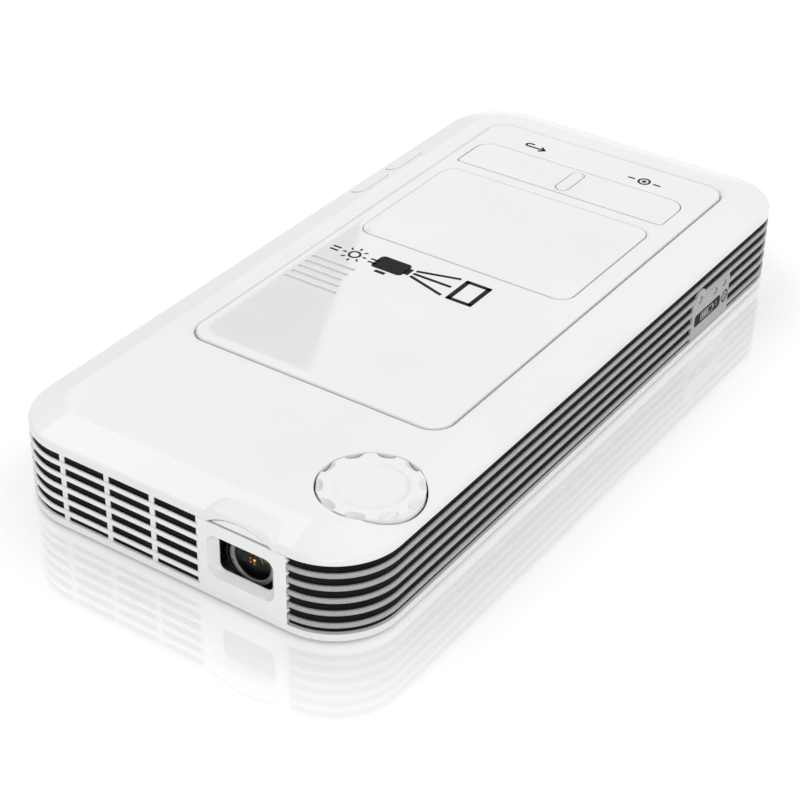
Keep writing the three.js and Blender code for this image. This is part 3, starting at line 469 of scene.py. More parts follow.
def groundGlass(name, look):  # clear or coated glass with a breath of dust
    made, tree, place = startMaterial(name)
    specks = addNode(tree, "ShaderNodeTexNoise", {
        "Vector": place, "Scale": perSize(look["speck"]), "Detail": 5.0, "Roughness": 0.7})
    dustAndShade = addNode(tree, "ShaderNodeMapRange", {
        0: specks.outputs[0], 1: 0.58, 2: 0.75, 3: look["roughness"][0], 4: look["roughness"][1]})
    tint = addNode(tree, "ShaderNodeMix", {
        0: specks.outputs[0], 6: toLinear(look["colour"]), 7: toLinear(look["shade"])}, data_type="RGBA")
    ripple = addNode(tree, "ShaderNodeBump", {
        "Height": specks.outputs[0], "Distance": look["rippleHeight"] * mm, "Strength": 1.0})
    endMaterial(tree, {
        "Base Color": tint.outputs[2], "Roughness": dustAndShade.outputs[0], "Normal": ripple.outputs[0],
        "IOR": look["ior"], "Transmission Weight": look["clear"], "Specular IOR Level": look["specular"],
        "Thin Film Thickness": look["film"], "Thin Film IOR": look["filmIor"],
        # painted glow: emission on glass that no lamp lights
        "Emission Color": toLinear(look["paintedGlow"]), "Emission Strength": look["paintedGlowStrength"]})
    return made


# Polished ABS out of a mirror-finished mould: a clean gloss that only large, slow waves disturb.
glossWhiteAbs = mouldedPlastic("glossWhiteAbsMoulded", {
    "colour": "#e9e9e9", "shade": "#e6e6e6", "dustAndShade": "#b4b3b1", "creaseDustAndShade": 0.22, "creaseReach": 0.4,
    "flow": 18, "haze": 9, "roughness": (0.03, 0.07), "grain": 0.5, "grainHeight": 0.0004,
    "wave": 14, "waveHeight": 0.004, "ior": 1.53, "coat": 0.35, "coatRoughness": 0.04})
# ABS out of a finely spark-eroded mould: the same white with a silky, broken highlight.
satinWhiteAbs = mouldedPlastic("satinWhiteAbsMoulded", {
    "colour": "#ececec", "shade": "#e8e8e8", "dustAndShade": "#b4b3b1", "creaseDustAndShade": 0.22, "creaseReach": 0.4,
    "flow": 15, "haze": 6, "roughness": (0.3, 0.42), "grain": 0.16, "grainHeight": 0.0022,
    "wave": 10, "waveHeight": 0.002, "ior": 1.53, "coat": 0.0, "coatRoughness": 0.2})
# ABS of the rocker key: the panel's white, with a softer and broader sheen from a thin hard coat.
keyGreyAbs = mouldedPlastic("keyGreyAbsMoulded", {
    "colour": "#e9e9ea", "shade": "#e6e6e7", "dustAndShade": "#a6a6a5", "creaseDustAndShade": 0.22, "creaseReach": 0.35,
    "flow": 12, "haze": 7, "roughness": (0.14, 0.24), "grain": 0.2, "grainHeight": 0.0008,
    "wave": 12, "waveHeight": 0.003, "ior": 1.53, "coat": 0.2, "coatRoughness": 0.08})
# Silver-grey paint over ABS on the ribs: flake too fine to see singly, so it shows as a fine mottle.
silverPaint = mouldedPlastic("silverPaintSprayed", {
    "colour": "#aaaaaa", "shade": "#9e9e9f", "dustAndShade": "#6c6c6c", "creaseDustAndShade": 0.3, "creaseReach": 0.3,
    "flow": 0.35, "haze": 5, "roughness": (0.3, 0.42), "grain": 0.22, "grainHeight": 0.0016,
    "wave": 6, "waveHeight": 0.002, "ior": 1.5, "coat": 0.15, "coatRoughness": 0.25})
# Black ABS behind the slots: a dull moulded black that gives back almost no light; the strips of it behind
# the rear slots and the hood gap are painted shade, and at the rib grooves' floors partly so.
blackAbs = mouldedPlastic("blackAbsMoulded", {
    "colour": "#0b0b0c", "shade": "#070708", "dustAndShade": "#050505", "creaseDustAndShade": 0.8, "creaseReach": 1.2,
    "flow": 6, "haze": 3, "roughness": (0.5, 0.7), "grain": 0.2, "grainHeight": 0.004,
    "wave": 5, "waveHeight": 0.002, "ior": 1.22, "coat": 0.0, "coatRoughness": 0.3})
# Anodised lens mount: near-black with a low, even sheen.
mountBlack = mouldedPlastic("mountBlackAnodised", {
    "colour": "#1c1c1d", "shade": "#151516", "dustAndShade": "#060606", "creaseDustAndShade": 0.7, "creaseReach": 0.6,
    "flow": 2, "haze": 1.5, "roughness": (0.25, 0.4), "grain": 0.12, "grainHeight": 0.001,
    "wave": 3, "waveHeight": 0.001, "ior": 1.28, "coat": 0.0, "coatRoughness": 0.2})
# Anodised retaining ring, a darker grey than the ribs.
ringGrey = mouldedPlastic("ringGreyAnodised", {
    "colour": "#828384", "shade": "#707172", "dustAndShade": "#38383a", "creaseDustAndShade": 0.5, "creaseReach": 0.25,
    "flow": 1.2, "haze": 1.5, "roughness": (0.28, 0.4), "grain": 0.12, "grainHeight": 0.001,
    "wave": 3, "waveHeight": 0.001, "ior": 1.7, "coat": 0.2, "coatRoughness": 0.2})
# Pad-printed ink: flat black with the slight mottle of a silicone pad.
printInk = mouldedPlastic("printInkPadPrinted", {
    "colour": "#08080a", "shade": "#0e0e10", "dustAndShade": "#08080a", "creaseDustAndShade": 0.0, "creaseReach": 0.2,
    "flow": 0.6, "haze": 1.2, "roughness": (0.55, 0.7), "grain": 0.15, "grainHeight": 0.0008,
    "wave": 2, "waveHeight": 0.0005, "ior": 1.3, "coat": 0.0, "coatRoughness": 0.2})
# Soft rubber feet, bloomed and matt.
footRubber = mouldedPlastic("footRubberMoulded", {
    "colour": "#2b2c2e", "shade": "#37383a", "dustAndShade": "#4a4a49", "creaseDustAndShade": 0.4, "creaseReach": 0.8,
    "flow": 1.5, "haze": 1.2, "roughness": (0.75, 0.92), "grain": 0.1, "grainHeight": 0.006,
    "wave": 2, "waveHeight": 0.004, "ior": 1.5, "coat": 0.0, "coatRoughness": 0.5})
# Nickel-plated steel with faint turning lines.
platedSteel = turnedMetal("platedSteelTurned", {
    "colour": "#b4b5b8", "oxide": "#97989a", "drawn": (1, 1, 0.1), "line": 0.12, "lineHeight": 0.0012,
    "patch": 1.5, "roughness": (0.22, 0.38)})
# Extruded aluminium, drawn lines along its length.
drawnAluminium = turnedMetal("drawnAluminiumExtruded", {
    "colour": "#c3c5c7", "oxide": "#a8aaad", "drawn": (1, 0.06, 1), "line": 0.15, "lineHeight": 0.002,
    "patch": 3, "roughness": (0.32, 0.5)})
# Crinkled foil wrap over the cells.
foilWrap = turnedMetal("foilWrapCrinkled", {
    "colour": "#a5a8ac", "oxide": "#8b8e92", "drawn": (1, 1, 1), "line": 2.2, "lineHeight": 0.12,
    "patch": 8, "roughness": (0.3, 0.5)})
# Gold flash on the socket contacts.
contactGold = turnedMetal("contactGoldFlashed", {
    "colour": "#d9b66a", "oxide": "#b08f4e", "drawn": (0.2, 1, 1), "line": 0.1, "lineHeight": 0.0008,
    "patch": 1, "roughness": (0.2, 0.35)})
# Coated optical glass: almost no reflection, so the eye looks straight through it.
coatedGlass = groundGlass("coatedGlassPolished", {
    "colour": "#f4fbf8", "shade": "#eaf4f0", "speck": 0.6, "roughness": (0.0, 0.06), "rippleHeight": 0.00002,
    "ior": 1.1, "clear": 1.0, "specular": 0.5, "film": 0.0, "filmIor": 1.38, "paintedGlow": "#000000",
    "paintedGlowStrength": 0.0})
# Milky polycarbonate light pipes: pale, with a faint painted glow, though no lamp lights them.
lightPipe = groundGlass("lightPipePolycarbonate", {
    "colour": "#dfe3e4", "shade": "#cfd4d6", "speck": 0.4, "roughness": (0.18, 0.35), "rippleHeight": 0.0004,
    "ior": 1.58, "clear": 0.35, "specular": 0.5, "film": 0.0, "filmIor": 1.33, "paintedGlow": "#dfe3e4",
    "paintedGlowStrength": 0.05})
# Amber-coated little condenser lenses behind the front glass; their warm shine is a painted glint, a glow
# with no lamp behind it.
amberGlintGlass = groundGlass("amberGlassPaintedGlint", {
    "colour": "#ffbe48", "shade": "#f09a2a", "speck": 0.3, "roughness": (0.05, 0.12), "rippleHeight": 0.0001,
    "ior": 1.6, "clear": 0.0, "specular": 0.8, "film": 300.0, "filmIor": 1.4, "paintedGlow": "#f7b850",
    "paintedGlowStrength": 0.9})
# The same amber as a shaded copy, for where less light reaches it, with a weaker painted glow: a dull copper
# red.
amberShadedCopyGlass = groundGlass("amberGlassShadedCopy", {
    "colour": "#c4572a", "shade": "#a83f20", "speck": 0.3, "roughness": (0.05, 0.12), "rippleHeight": 0.0001,
    "ior": 1.6, "clear": 0.0, "specular": 0.8, "film": 260.0, "filmIor": 1.4, "paintedGlow": "#b8502a",
    "paintedGlowStrength": 0.3})
# A painted reflection of the coating's green: a faint cast on black, with a painted glow.
greenReflectionGlass = groundGlass("greenGlassPaintedReflection", {
    "colour": "#26402a", "shade": "#1c2f20", "speck": 0.3, "roughness": (0.1, 0.2), "rippleHeight": 0.0001,
    "ior": 1.5, "clear": 0.0, "specular": 0.5, "film": 480.0, "filmIor": 1.4, "paintedGlow": "#3a5a38",
    "paintedGlowStrength": 0.25})


# green lacquer over copper tracks, with pads, and black chip bodies above the board
def solderMask(name, look):
    made, tree, place = startMaterial(name)
    tracks = addNode(tree, "ShaderNodeTexBrick", {
        "Vector": place, "Scale": perSize(look["track"]), "Color1": toLinear(look["mask"]),
        "Color2": toLinear(look["maskShade"]), "Mortar": toLinear(look["copper"]), "Mortar Size": 0.03})
    specks = addNode(tree, "ShaderNodeTexVoronoi", {"Vector": place, "Scale": perSize(look["pad"])})
    isPad = addNode(tree, "ShaderNodeMath", {0: specks.outputs["Distance"], 1: 0.16}, operation="LESS_THAN")
    padded = addNode(tree, "ShaderNodeMix", {
        0: isPad.outputs[0], 6: tracks.outputs["Color"], 7: toLinear(look["solder"])}, data_type="RGBA")
    height = addNode(tree, "ShaderNodeSeparateXYZ", {0: place})
    isChip = addNode(tree, "ShaderNodeMath", {0: height.outputs["Z"], 1: look["chipFrom"] * mm},
                     operation="GREATER_THAN")
    coloured = addNode(tree, "ShaderNodeMix", {
        0: isChip.outputs[0], 6: padded.outputs[2], 7: toLinear(look["chip"])}, data_type="RGBA")
    relief = addNode(tree, "ShaderNodeBump", {
        "Height": tracks.outputs["Fac"], "Distance": 0.03 * mm, "Strength": 0.6})
    endMaterial(tree, {
        "Base Color": coloured.outputs[2], "Roughness": 0.38, "Metallic": 0.0, "Normal": relief.outputs[0]})
    return made


boardTop = span("main_board")[2] + 1.1  # chips stand above this height
boardGreen = solderMask("boardGreenSolderMask", {
    "mask": "#1f5a3a", "maskShade": "#1a4f33", "copper": "#2f7a50", "solder": "#b9bcbf", "chip": "#17181a",
    "track": 2.4, "pad": 1.3, "chipFrom": boardTop})
print("materials ready:", len(bpy.data.materials))


trimBox, fasciaBox, coverBox = span("hood_trim"), span("front_fascia"), span("top_cover")
dialBox, panelBox = span("focus_dial"), span("top_panel")
barrelBox, trayBox = span("lens_barrel"), span("bottom_shell")
rimBottom = fasciaBox[5] + 0.15
coverTop = coverBox[5]
cover = {
    "rim": 1.2, "slopeInset": 5.5, "wall": 1.5, "rollRadius": 0.75, "creaseRadius": 0.9,
    "dialGap": 0.25, "dialLip": 0.18, "panelGap": 0.14, "panelLip": 0.85,
    "hoodRadius": 10.1, "hoodHeight": 1.8, "hoodTop": 16.15, "hoodHalf": 7.0, "hoodShoulder": 5.4,
    "hoodBend": 2.6, "hoodDepth": 8, "hoodPocket": 1.1,
    "volumeGap": 0.1, "volumeWidth": 2.9, "volumeLength": 8.4, "volumeRadius": 1.15,
}
hoodX = (trimBox[0] + trimBox[3]) / 2
hoodMiddleZ = rimBottom + cover["hoodHeight"] - cover["hoodRadius"]
bevelStart = rimBottom + cover["rim"]
bevelAngle = math.atan2(coverTop - bevelStart, cover["slopeInset"])
dialCentre = Vector(((dialBox[0] + dialBox[3]) / 2, (dialBox[1] + dialBox[4]) / 2, 0))
dialRadius = (dialBox[3] - dialBox[0]) / 2


def archLoop(radius, chordZ, y, steps=48):  # the part of an upright circle that stands above chordZ
    half = math.acos((chordZ - hoodMiddleZ) / radius)
    return [(hoodX + radius * math.sin(half - 2 * half * i / steps), y,
             hoodMiddleZ + radius * math.cos(half - 2 * half * i / steps)) for i in range(steps + 1)]


def hoodLoop(inset, y):  # the outside of the hood: a flat back between two round shoulders
    half, shoulder = cover["hoodHalf"] - inset, cover["hoodShoulder"] - inset
    top = cover["hoodTop"] - inset
    low, bend = rimBottom + 0.02, cover["hoodBend"]
    path = roundedPath([(half, low), (shoulder, top), (-shoulder, top), (-half, low)], [bend, bend], 12)
    return [(hoodX + point.x, y, point.y) for point in path]


def onLeftBevel(points, y):  # points drawn flat about the origin, laid on the left bevel
    middle = cover["slopeInset"] / 2
    place = Vector((caseLeft + middle, y, bevelStart + middle * math.tan(bevelAngle)))
    tilt = Matrix.Rotation(-bevelAngle, 3, "Y")
    return [place + tilt @ Vector(point) for point in points]


# a cutter's profile: straight sides that open in a soft lip at the surface
def flared(gap, lip, floor, top):
    path = [(gap, floor), (gap, top - lip)]
    for step in range(1, 7):
        angle = math.pi / 2 * step / 6
        path.append((gap + lip * (1 - math.cos(angle)), top - lip + lip * math.sin(angle)))
    return path + [(gap + lip, top + 1)]


def volumeSlab(name, y, grow, low, high, edge=0.0):
    width, length = cover["volumeWidth"] + 2 * grow, cover["volumeLength"] + 2 * grow
    piece = slab(name, (-width / 2, width / 2, -length / 2, length / 2), cover["volumeRadius"] + grow,
                 low, high, 0.02, max(edge, 0.02), 8)
    spots = onLeftBevel([vertex.co / mm for vertex in piece.data.vertices], y)
    for vertex, spot in zip(piece.data.vertices, spots):
        vertex.co = spot * mm
    return piece


volumeMiddles = {node: (span(node)[1] + span(node)[4]) / 2
                 for node in ("volume_down_key", "volume_up_key")}


def makeTopCover():
    outside = roundedPath([(cover["wall"], rimBottom), (0, rimBottom), (0, bevelStart),
                           (cover["slopeInset"], coverTop), (cover["slopeInset"] + 2.5, coverTop)],
                          [0.12, cover["rollRadius"], cover["creaseRadius"]], 7)
    ceiling = coverTop - cover["wall"]
    inside = [(cover["slopeInset"] + 2.5, ceiling), (cover["slopeInset"] + cover["wall"], ceiling),
              (cover["wall"], bevelStart - 0.75)]
    body = loft("topCover", [caseLoop(inset, z) for inset, z in [*inside, *outside]])
    roof = [(0.22, 0.0), (0.1, 0.04), (0.03, 0.12), (0.0, 0.3), (0.0, cover["hoodDepth"])]
    bump = loft("bump", [hoodLoop(inset, caseFront + y) for inset, y in roof])
    cutWith(body, bump, operation="UNION")
    pocket = loft("pocket", [archLoop(cover["hoodRadius"], rimBottom - 1, caseFront + y)
                             for y in (-1, cover["hoodPocket"])])
    recess = loft("recess", [
        [(x, y, z) for x, y in roundedLoop(
            panelBox[0] - out, panelBox[3] + out, panelBox[1] - out, panelBox[4] + out, 3.5 + out)]
        for out, z in flared(cover["panelGap"], cover["panelLip"], panelBox[2] - 0.15, coverTop)])
    well = lathe("well", [(dialRadius + out, z) for out, z in flared(
        cover["dialGap"], cover["dialLip"], coverTop - 4, coverTop)], dialCentre, steps=96)
    holes = [volumeSlab("hole", y, cover["volumeGap"], -3, 1) for y in volumeMiddles.values()]
    cutWith(body, pocket, recess, well, *holes)
    shaded(turnedOut(body), glossWhiteAbs, 16)
    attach(body, "case")
    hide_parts("top_cover")


def makeHoodInsert():
    chord = trimBox[2]
    radius = cover["hoodRadius"] - 0.24
    front, back = trimBox[1], trimBox[4]
    rounding = [(0.12, 0.0), (0.04, 0.03), (0.0, 0.12), (0.0, back - front)]
    insert = loft("hoodInsert", [archLoop(radius - inset, chord + 0.08 + inset * 0.6, front + y)
                                 for inset, y in rounding])
    shaded(insert, satinWhiteAbs)
    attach(insert, "case")
    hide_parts("hood_trim")
    # painted shade: a black strip, seen only through the gap round the insert, darkens the gap line
    gapShadeStrip = loft("hoodGapShadeStrip", [archLoop(cover["hoodRadius"] - 0.02, chord - 0.1, front + y)
                                 for y in (0.3, 0.75)])
    shaded(gapShadeStrip, blackAbs)
    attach(gapShadeStrip, "case")


makeTopCover()
makeHoodInsert()
print("cover ready")


def makeBaseTray():
    bottom, top = trayBox[2], trayBox[2] + 1.37
    path = roundedPath([(4, bottom), (0, bottom), (0, top), (1.5, top), (1.5, top - 0.3)],
                       [0.45, 0.1, 0.02], 6)
    tray = loft("baseTray", [caseLoop(inset, z) for inset, z in path])
    screws = [span(f"case_screw_{i}") for i in range(1, 5)]
    bores = [lathe("bore", [(1.95, bottom - 1), (1.95, bottom + 1.2)],
                   ((s[0] + s[3]) / 2, (s[1] + s[4]) / 2, 0), steps=32) for s in screws]
    cutWith(tray, *bores)
    shaded(turnedOut(tray), glossWhiteAbs)
    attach(tray, "case")
    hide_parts("bottom_shell")


def makeFeet():
    first, last = span("rubber_foot_1"), span("rubber_foot_4")
    radius = (first[3] - first[0]) / 2
    middle = Vector(((first[0] + first[3]) / 2, (first[1] + first[4]) / 2, 0))
    profile = roundedPath([(0, 0.12), (radius * 0.55, 0.12), (radius * 0.62, 0), (radius, 0), (radius, 0.7),
                           (0, 0.7)], [0.1, 0.05, 0.25, 0.05], 4)
    feet = lathe("rubberFeet", profile, middle, steps=48)
    grown(feet, gridCopies, {
        "Columns": 2, "Column Step": ((last[0] - first[0]) * mm, 0, 0),
        "Rows": 2, "Row Step": (0, (last[1] - first[1]) * mm, 0), "Material": footRubber})
    shaded(feet, footRubber)
    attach(feet, "case")
    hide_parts(*[f"rubber_foot_{i}" for i in range(1, 5)])


def makeScrews():
    first, last = span("case_screw_1"), span("case_screw_4")
    middle = Vector(((first[0] + first[3]) / 2, (first[1] + first[4]) / 2, 0))
    radius, low = (first[3] - first[0]) / 2, first[2]
    profile = roundedPath([(0, low + 0.02), (radius, low + 0.05), (radius, low + 0.8), (0.8, low + 0.8),
                           (0.8, low + 8.6), (0, low + 9)], [0.3, 0.05, 0.05, 0.3], 4)
    screw = lathe("caseScrews", profile, middle, steps=40)
    slots = []
    for half in ((0.85, 0.17), (0.17, 0.85)):
        loops = [[(middle.x + x, middle.y + y, z) for x, y in roundedLoop(
            -half[0] * wide, half[0] * wide, -half[1] * wide, half[1] * wide, 0.05, 3)]
            for wide, z in ((1, low - 1), (0.7, low + 0.45))]
        slots.append(loft("slot", loops))
    cutWith(screw, *slots)
    grown(screw, gridCopies, {
        "Columns": 2, "Column Step": ((last[0] - first[0]) * mm, 0, 0),
        "Rows": 2, "Row Step": (0, (last[1] - first[1]) * mm, 0), "Material": platedSteel})
    shaded(turnedOut(screw), platedSteel)
    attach(screw, "case")
    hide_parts(*[f"case_screw_{i}" for i in range(1, 5)])


makeBaseTray()
makeFeet()
makeScrews()
print("base ready")


# The front wall: vent slats on the left, the lens window on the right.
vent = {"rows": 6, "pitch": 2.15, "slot": 1.36, "right": 5.4, "end": -43.28, "posts": 6, "postPitch": 8.5,
        "postWidth": 0.9, "postDepth": 0.3, "postInset": 0.3, "slatDepth": 0.4, "slatEdge": 0.13,
        "liningInset": 0.44}
window = {"width": 11.6, "height": 7.2, "middleZ": 8.0, "radius": 1.6, "funnel": 1.2, "depth": 1.35,
          "wall": 1.5, "lip": 0.14}
lensX, lensZ = (barrelBox[0] + barrelBox[3]) / 2, (barrelBox[2] + barrelBox[5]) / 2
wallTop, wallBottom = rimBottom - 0.015, trayBox[2] + 1.385
corner = outline["corner"]
# how far round the left side the fascia reaches, as a walk along the outline
fasciaEnd = -(caseRight - corner) - corner * math.pi / 2 - (fasciaBox[4] - caseFront - corner)


def rowTop(row):
    return rimBottom - row * vent["pitch"]


def windowLoop(inset, y):
    half = window["width"] / 2 - inset
    low = window["middleZ"] - window["height"] / 2 + inset * 0.6
    high = window["middleZ"] + window["height"] / 2 - inset * 0.35
    radius = max(window["radius"] - inset * 0.45, 0.5)
    return [(x, y, z) for x, z in roundedLoop(lensX - half, lensX + half, low, high, radius, 8)]


def makeFrontFascia():
    left, right = vent["right"], fasciaBox[3]
    front, inner = caseFront, caseFront + window["wall"]
    ends = roundedPath([(left, inner), (left, front), (right, front), (right, inner)], [0.03, 0.12], 4)
    block = loft("frontFascia", [[(point.x, point.y, z) for point in ends] for z in (wallBottom, wallTop)])
    lip = window["lip"]
    funnel = [(-lip, front - 1), (-lip, front)]
    funnel += [(-lip + lip * math.sin(math.pi / 2 * i / 4), front + lip - lip * math.cos(math.pi / 2 * i / 4))
               for i in range(1, 5)]
    funnel += [(window["funnel"] * 0.8, front + window["depth"] * 0.9),
               (window["funnel"] * 0.95, front + window["depth"]), (window["funnel"], front + 3)]
    cutWith(block, loft("funnel", [windowLoop(inset, y) for inset, y in funnel]))
    ribHeight = vent["pitch"] - vent["slot"]
    slatZ = rowTop(1) + ribHeight / 2
    middle = vent["slatDepth"] / 2
    slats = pathPiece("slats", [(point.x, point.y, slatZ)
                                for point in outlineRun(vent["end"], left, middle)])
    grown(slats, ribRun, {
        "Rib Depth": vent["slatDepth"] * mm, "Rib Height": ribHeight * mm,
        "Edge Radius": vent["slatEdge"] * mm,
        "Ribs": vent["rows"] - 1, "Pitch": vent["pitch"] * mm, "Material": satinWhiteAbs})
    run = outlineRun(left - vent["postPitch"] * (vent["posts"] - 1), left, vent["postInset"] + 0.15)
    posts = pathPiece("posts", [(point.x, point.y, (wallTop + wallBottom) / 2) for point in run])
    grown(posts, postRun, {
        "Posts": vent["posts"], "Material": satinWhiteAbs,
        "Post Size": (vent["postDepth"] * mm, (wallTop - wallBottom) * mm, vent["postWidth"] * mm)})
    bend = sweepRun("bend", fasciaEnd, vent["end"], barSection(0, 1.5, wallBottom, wallTop, 0.1))
    sill = sweepRun("sill", vent["end"], left, barSection(0.0, 0.5, wallBottom, wallBottom + 0.06, 0.02))
    teeth = loft("teeth", [[*[(right - 0.3, front + y, rowTop(0) - z) for z in (0.25, vent["slot"] - 0.25)],
                            (right + 0.42, front + y, rowTop(0) - vent["slot"] / 2)] for y in (0.02, 0.6)])
    grown(teeth, gridCopies, {
        "Columns": 1, "Column Step": (0, 0, 0),
        "Rows": vent["rows"] - 1, "Row Step": (0, 0, -vent["pitch"] * mm), "Material": satinWhiteAbs})
    fascia = joined("frontFascia", block, slats, posts, bend, sill, teeth)
    shaded(fascia, satinWhiteAbs)
    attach(fascia, "case")
    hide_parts("front_fascia")
    lining = sweepRun("ventLining", vent["end"] + 0.2, left - 0.1, barSection(
        vent["liningInset"], 1.3, wallBottom + 0.02, wallTop - 0.02, 0.02))
    shaded(lining, blackAbs)
    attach(lining, "case")
    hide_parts("vent_screen")


makeFrontFascia()
print("front ready")


bandBox = span("side_rib_band")
lights = [span(f"status_light_{i}") for i in range(1, 4)]
chargeBox, powerBox = span("charge_badge"), span("power_badge")
band = {"ribDepth": 0.46, "ribInset": 0.03, "edge": 0.14, "lining": 0.4, "linedTo": 1.7, "skirtFrom": 0.85,
        "skirtTo": 0.12, "plateLow": 2.2, "plateHigh": 9.4, "halo": 2.0, "plateWall": 1.6,
        "plateBefore": 2.7, "plateAfter": 10.7, "badgeSink": 0.03}
bandStart = bandBox[0]
halfWay = (caseRight - corner) + corner * math.pi / 2 + (caseBack - corner)
bandEnd = 2 * halfWay - bandBox[0]  # the same distance short of the middle of the back
plateFront = lights[0][1] + 0.55 - band["plateBefore"]
plateBack = lights[0][1] + 0.55 + band["plateAfter"]


def lightBores():
    bores = []
    for light in lights:
        middle = (0, (light[1] + light[4]) / 2, (light[2] + light[5]) / 2)
        radius = (light[4] - light[1]) / 2 + 0.1
        profile = [(radius, caseRight - 3), (radius, caseRight - 0.12), (radius + 0.12, caseRight),
                   (radius + 0.12, caseRight + 1)]
        bores.append(lathe("hole", profile, middle, "X", 32))
    return bores


def makeSideRibs():
    height = vent["pitch"] - vent["slot"]
    run = outlineRun(bandStart, bandEnd, band["ribInset"] + band["ribDepth"] / 2, 0.7)
    ribs = pathPiece("sideRibs", [(point.x, point.y, rowTop(1) + height / 2) for point in run])
    grown(ribs, ribRun, {
        "Rib Depth": band["ribDepth"] * mm, "Rib Height": height * mm, "Edge Radius": band["edge"] * mm,
        "Ribs": vent["rows"] - 1, "Pitch": vent["pitch"] * mm, "Material": silverPaint})
    behind = slab("behindPlate", (caseRight - 2, caseRight + 1, plateFront + 0.15, plateBack - 0.15), 0.05,
                  band["plateLow"] + 0.15, band["plateHigh"] - 0.15, 0.02, 0.02, 2)
    cutWith(ribs, behind, *lightBores())
    shaded(turnedOut(ribs), silverPaint)
    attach(ribs, "case")
    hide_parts("side_rib_band")
    # black strip at the groove floors: partly a real black liner, partly painted shade in the grooves
    lining = sweepRun("ribLiningAndShade", bandStart + 0.05, bandEnd - 0.05, barSection(
        band["lining"], band["linedTo"], wallBottom + 0.02, wallTop - 0.02, 0.02), 0.7)
    shaded(lining, blackAbs)
    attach(lining, "case")
    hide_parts("side_rib_band")
    low, high = wallBottom + 0.01, rowTop(5) - 0.6
    curve = [(band["skirtTo"] + (band["skirtFrom"] - band["skirtTo"]) * (i / 6) ** 1.6,
              low + (high - low) * i / 6) for i in range(7)]
    skirt = sweepRun("lowerSkirt", bandStart, bandEnd, [(1.2, low), *curve, (1.2, high)], 0.7)
    shaded(skirt, silverPaint)
    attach(skirt, "case")
    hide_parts("side_rib_band")


def upright(loopYZ, x):
    return [(x, y, z) for y, z in loopYZ]


def platePart(name, loopAt, depth, front, edge=0.12):  # a shape in Y and Z with a softened outer edge
    profile = [(0, front - depth), (0, front - edge)]
    turns = [math.pi / 2 * i / 4 for i in range(1, 5)]
    profile += [(edge * (1 - math.cos(a)), front - edge + edge * math.sin(a)) for a in turns]
    return loft(name, [upright(loopAt(inset), x) for inset, x in profile])


def makeLightPlate():
    face = caseRight
    plate = platePart("lightPlate", lambda inset: roundedLoop(
        plateFront + inset, plateBack - inset, band["plateLow"] + inset, band["plateHigh"] - inset, 0.35, 6),
        band["plateWall"], face)
    first = lights[0]
    haloY, haloZ = (first[1] + first[4]) / 2, (first[2] + first[5]) / 2
    halo = platePart("halo", lambda inset: [
        (haloY + (band["halo"] - inset) * math.cos(2 * math.pi * i / 48),
         haloZ + (band["halo"] - inset) * math.sin(2 * math.pi * i / 48)) for i in range(48)],
        band["plateWall"], face)
    cutWith(plate, halo, operation="UNION")
    tools = lightBores()
    gap = 0.12
    badge = roundedLoop(chargeBox[1] - gap, chargeBox[4] + gap, chargeBox[2] - gap, chargeBox[5] + gap,
                        0.72, 8)
    tools.append(loft("badgeHole", [upright(badge, x) for x in (face - 0.65, face + 1)]))
    power = (0, (powerBox[1] + powerBox[4]) / 2, (powerBox[2] + powerBox[5]) / 2)
    holeRadius = (powerBox[4] - powerBox[1]) / 2 + 0.1
    tools.append(lathe("powerHole", [(holeRadius, face - 0.65), (holeRadius, face + 1)], power, "X", 40))
    cutWith(plate, *tools)
    shaded(turnedOut(plate), silverPaint)
    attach(plate, "case")
    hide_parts("side_rib_band")


def makeLights():
    for index, light in enumerate(lights):
        middle = (0, (light[1] + light[4]) / 2, (light[2] + light[5]) / 2)
        radius, low, high = (light[4] - light[1]) / 2, light[0], light[3]
        profile = [(0, low), (radius, low), (radius, high - 0.25)]
        turns = [math.pi / 2 * i / 5 for i in range(1, 6)]
        profile += [(radius * math.cos(a), high - 0.25 + 0.2 * math.sin(a)) for a in turns]
        pipe = lathe(f"statusLight{index + 1}", profile, middle, "X", 32)
        shaded(pipe, lightPipe)
        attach(pipe, "case")
        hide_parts(f"status_light_{index + 1}")


# thin flat shapes, each a simple loop
def flatMark(name, outlines, toWorld, material, body="case"):
    parts = []
    for shape in outlines:
        parts.append(loft("part", [[toWorld(u, v, level) for u, v in shape] for level in (0.0, 1.0)]))
    mark = joined(name, *parts)
    shaded(mark, material, weighted=False)
    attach(mark, body)
    return mark


def ringBand(u, v, radius, width, start=0, end=360, steps=40):  # an arc-shaped stroke
    angles = [math.radians(start + (end - start) * i / steps) for i in range(steps + 1)]
    out, within = radius + width / 2, radius - width / 2
    outer = [(u + out * math.cos(a), v + out * math.sin(a)) for a in angles]
    inner = [(u + within * math.cos(a), v + within * math.sin(a)) for a in reversed(angles)]
    return outer + inner


def wholeRing(u, v, radius, width):  # two half bands that meet
    return [ringBand(u, v, radius, width, 0, 180), ringBand(u, v, radius, width, 180, 360)]


def bar(u0, v0, u1, v1, width):  # a straight stroke
    along = Vector((u1 - u0, v1 - v0)).normalized()
    side = Vector((-along.y, along.x)) * width / 2
    return [(u0 + side.x, v0 + side.y), (u0 - side.x, v0 - side.y),
            (u1 - side.x, v1 - side.y), (u1 + side.x, v1 + side.y)]


def disc(u, v, radius, steps=32):
    return [(u + radius * math.cos(2 * math.pi * i / steps), v + radius * math.sin(2 * math.pi * i / steps))
            for i in range(steps)]


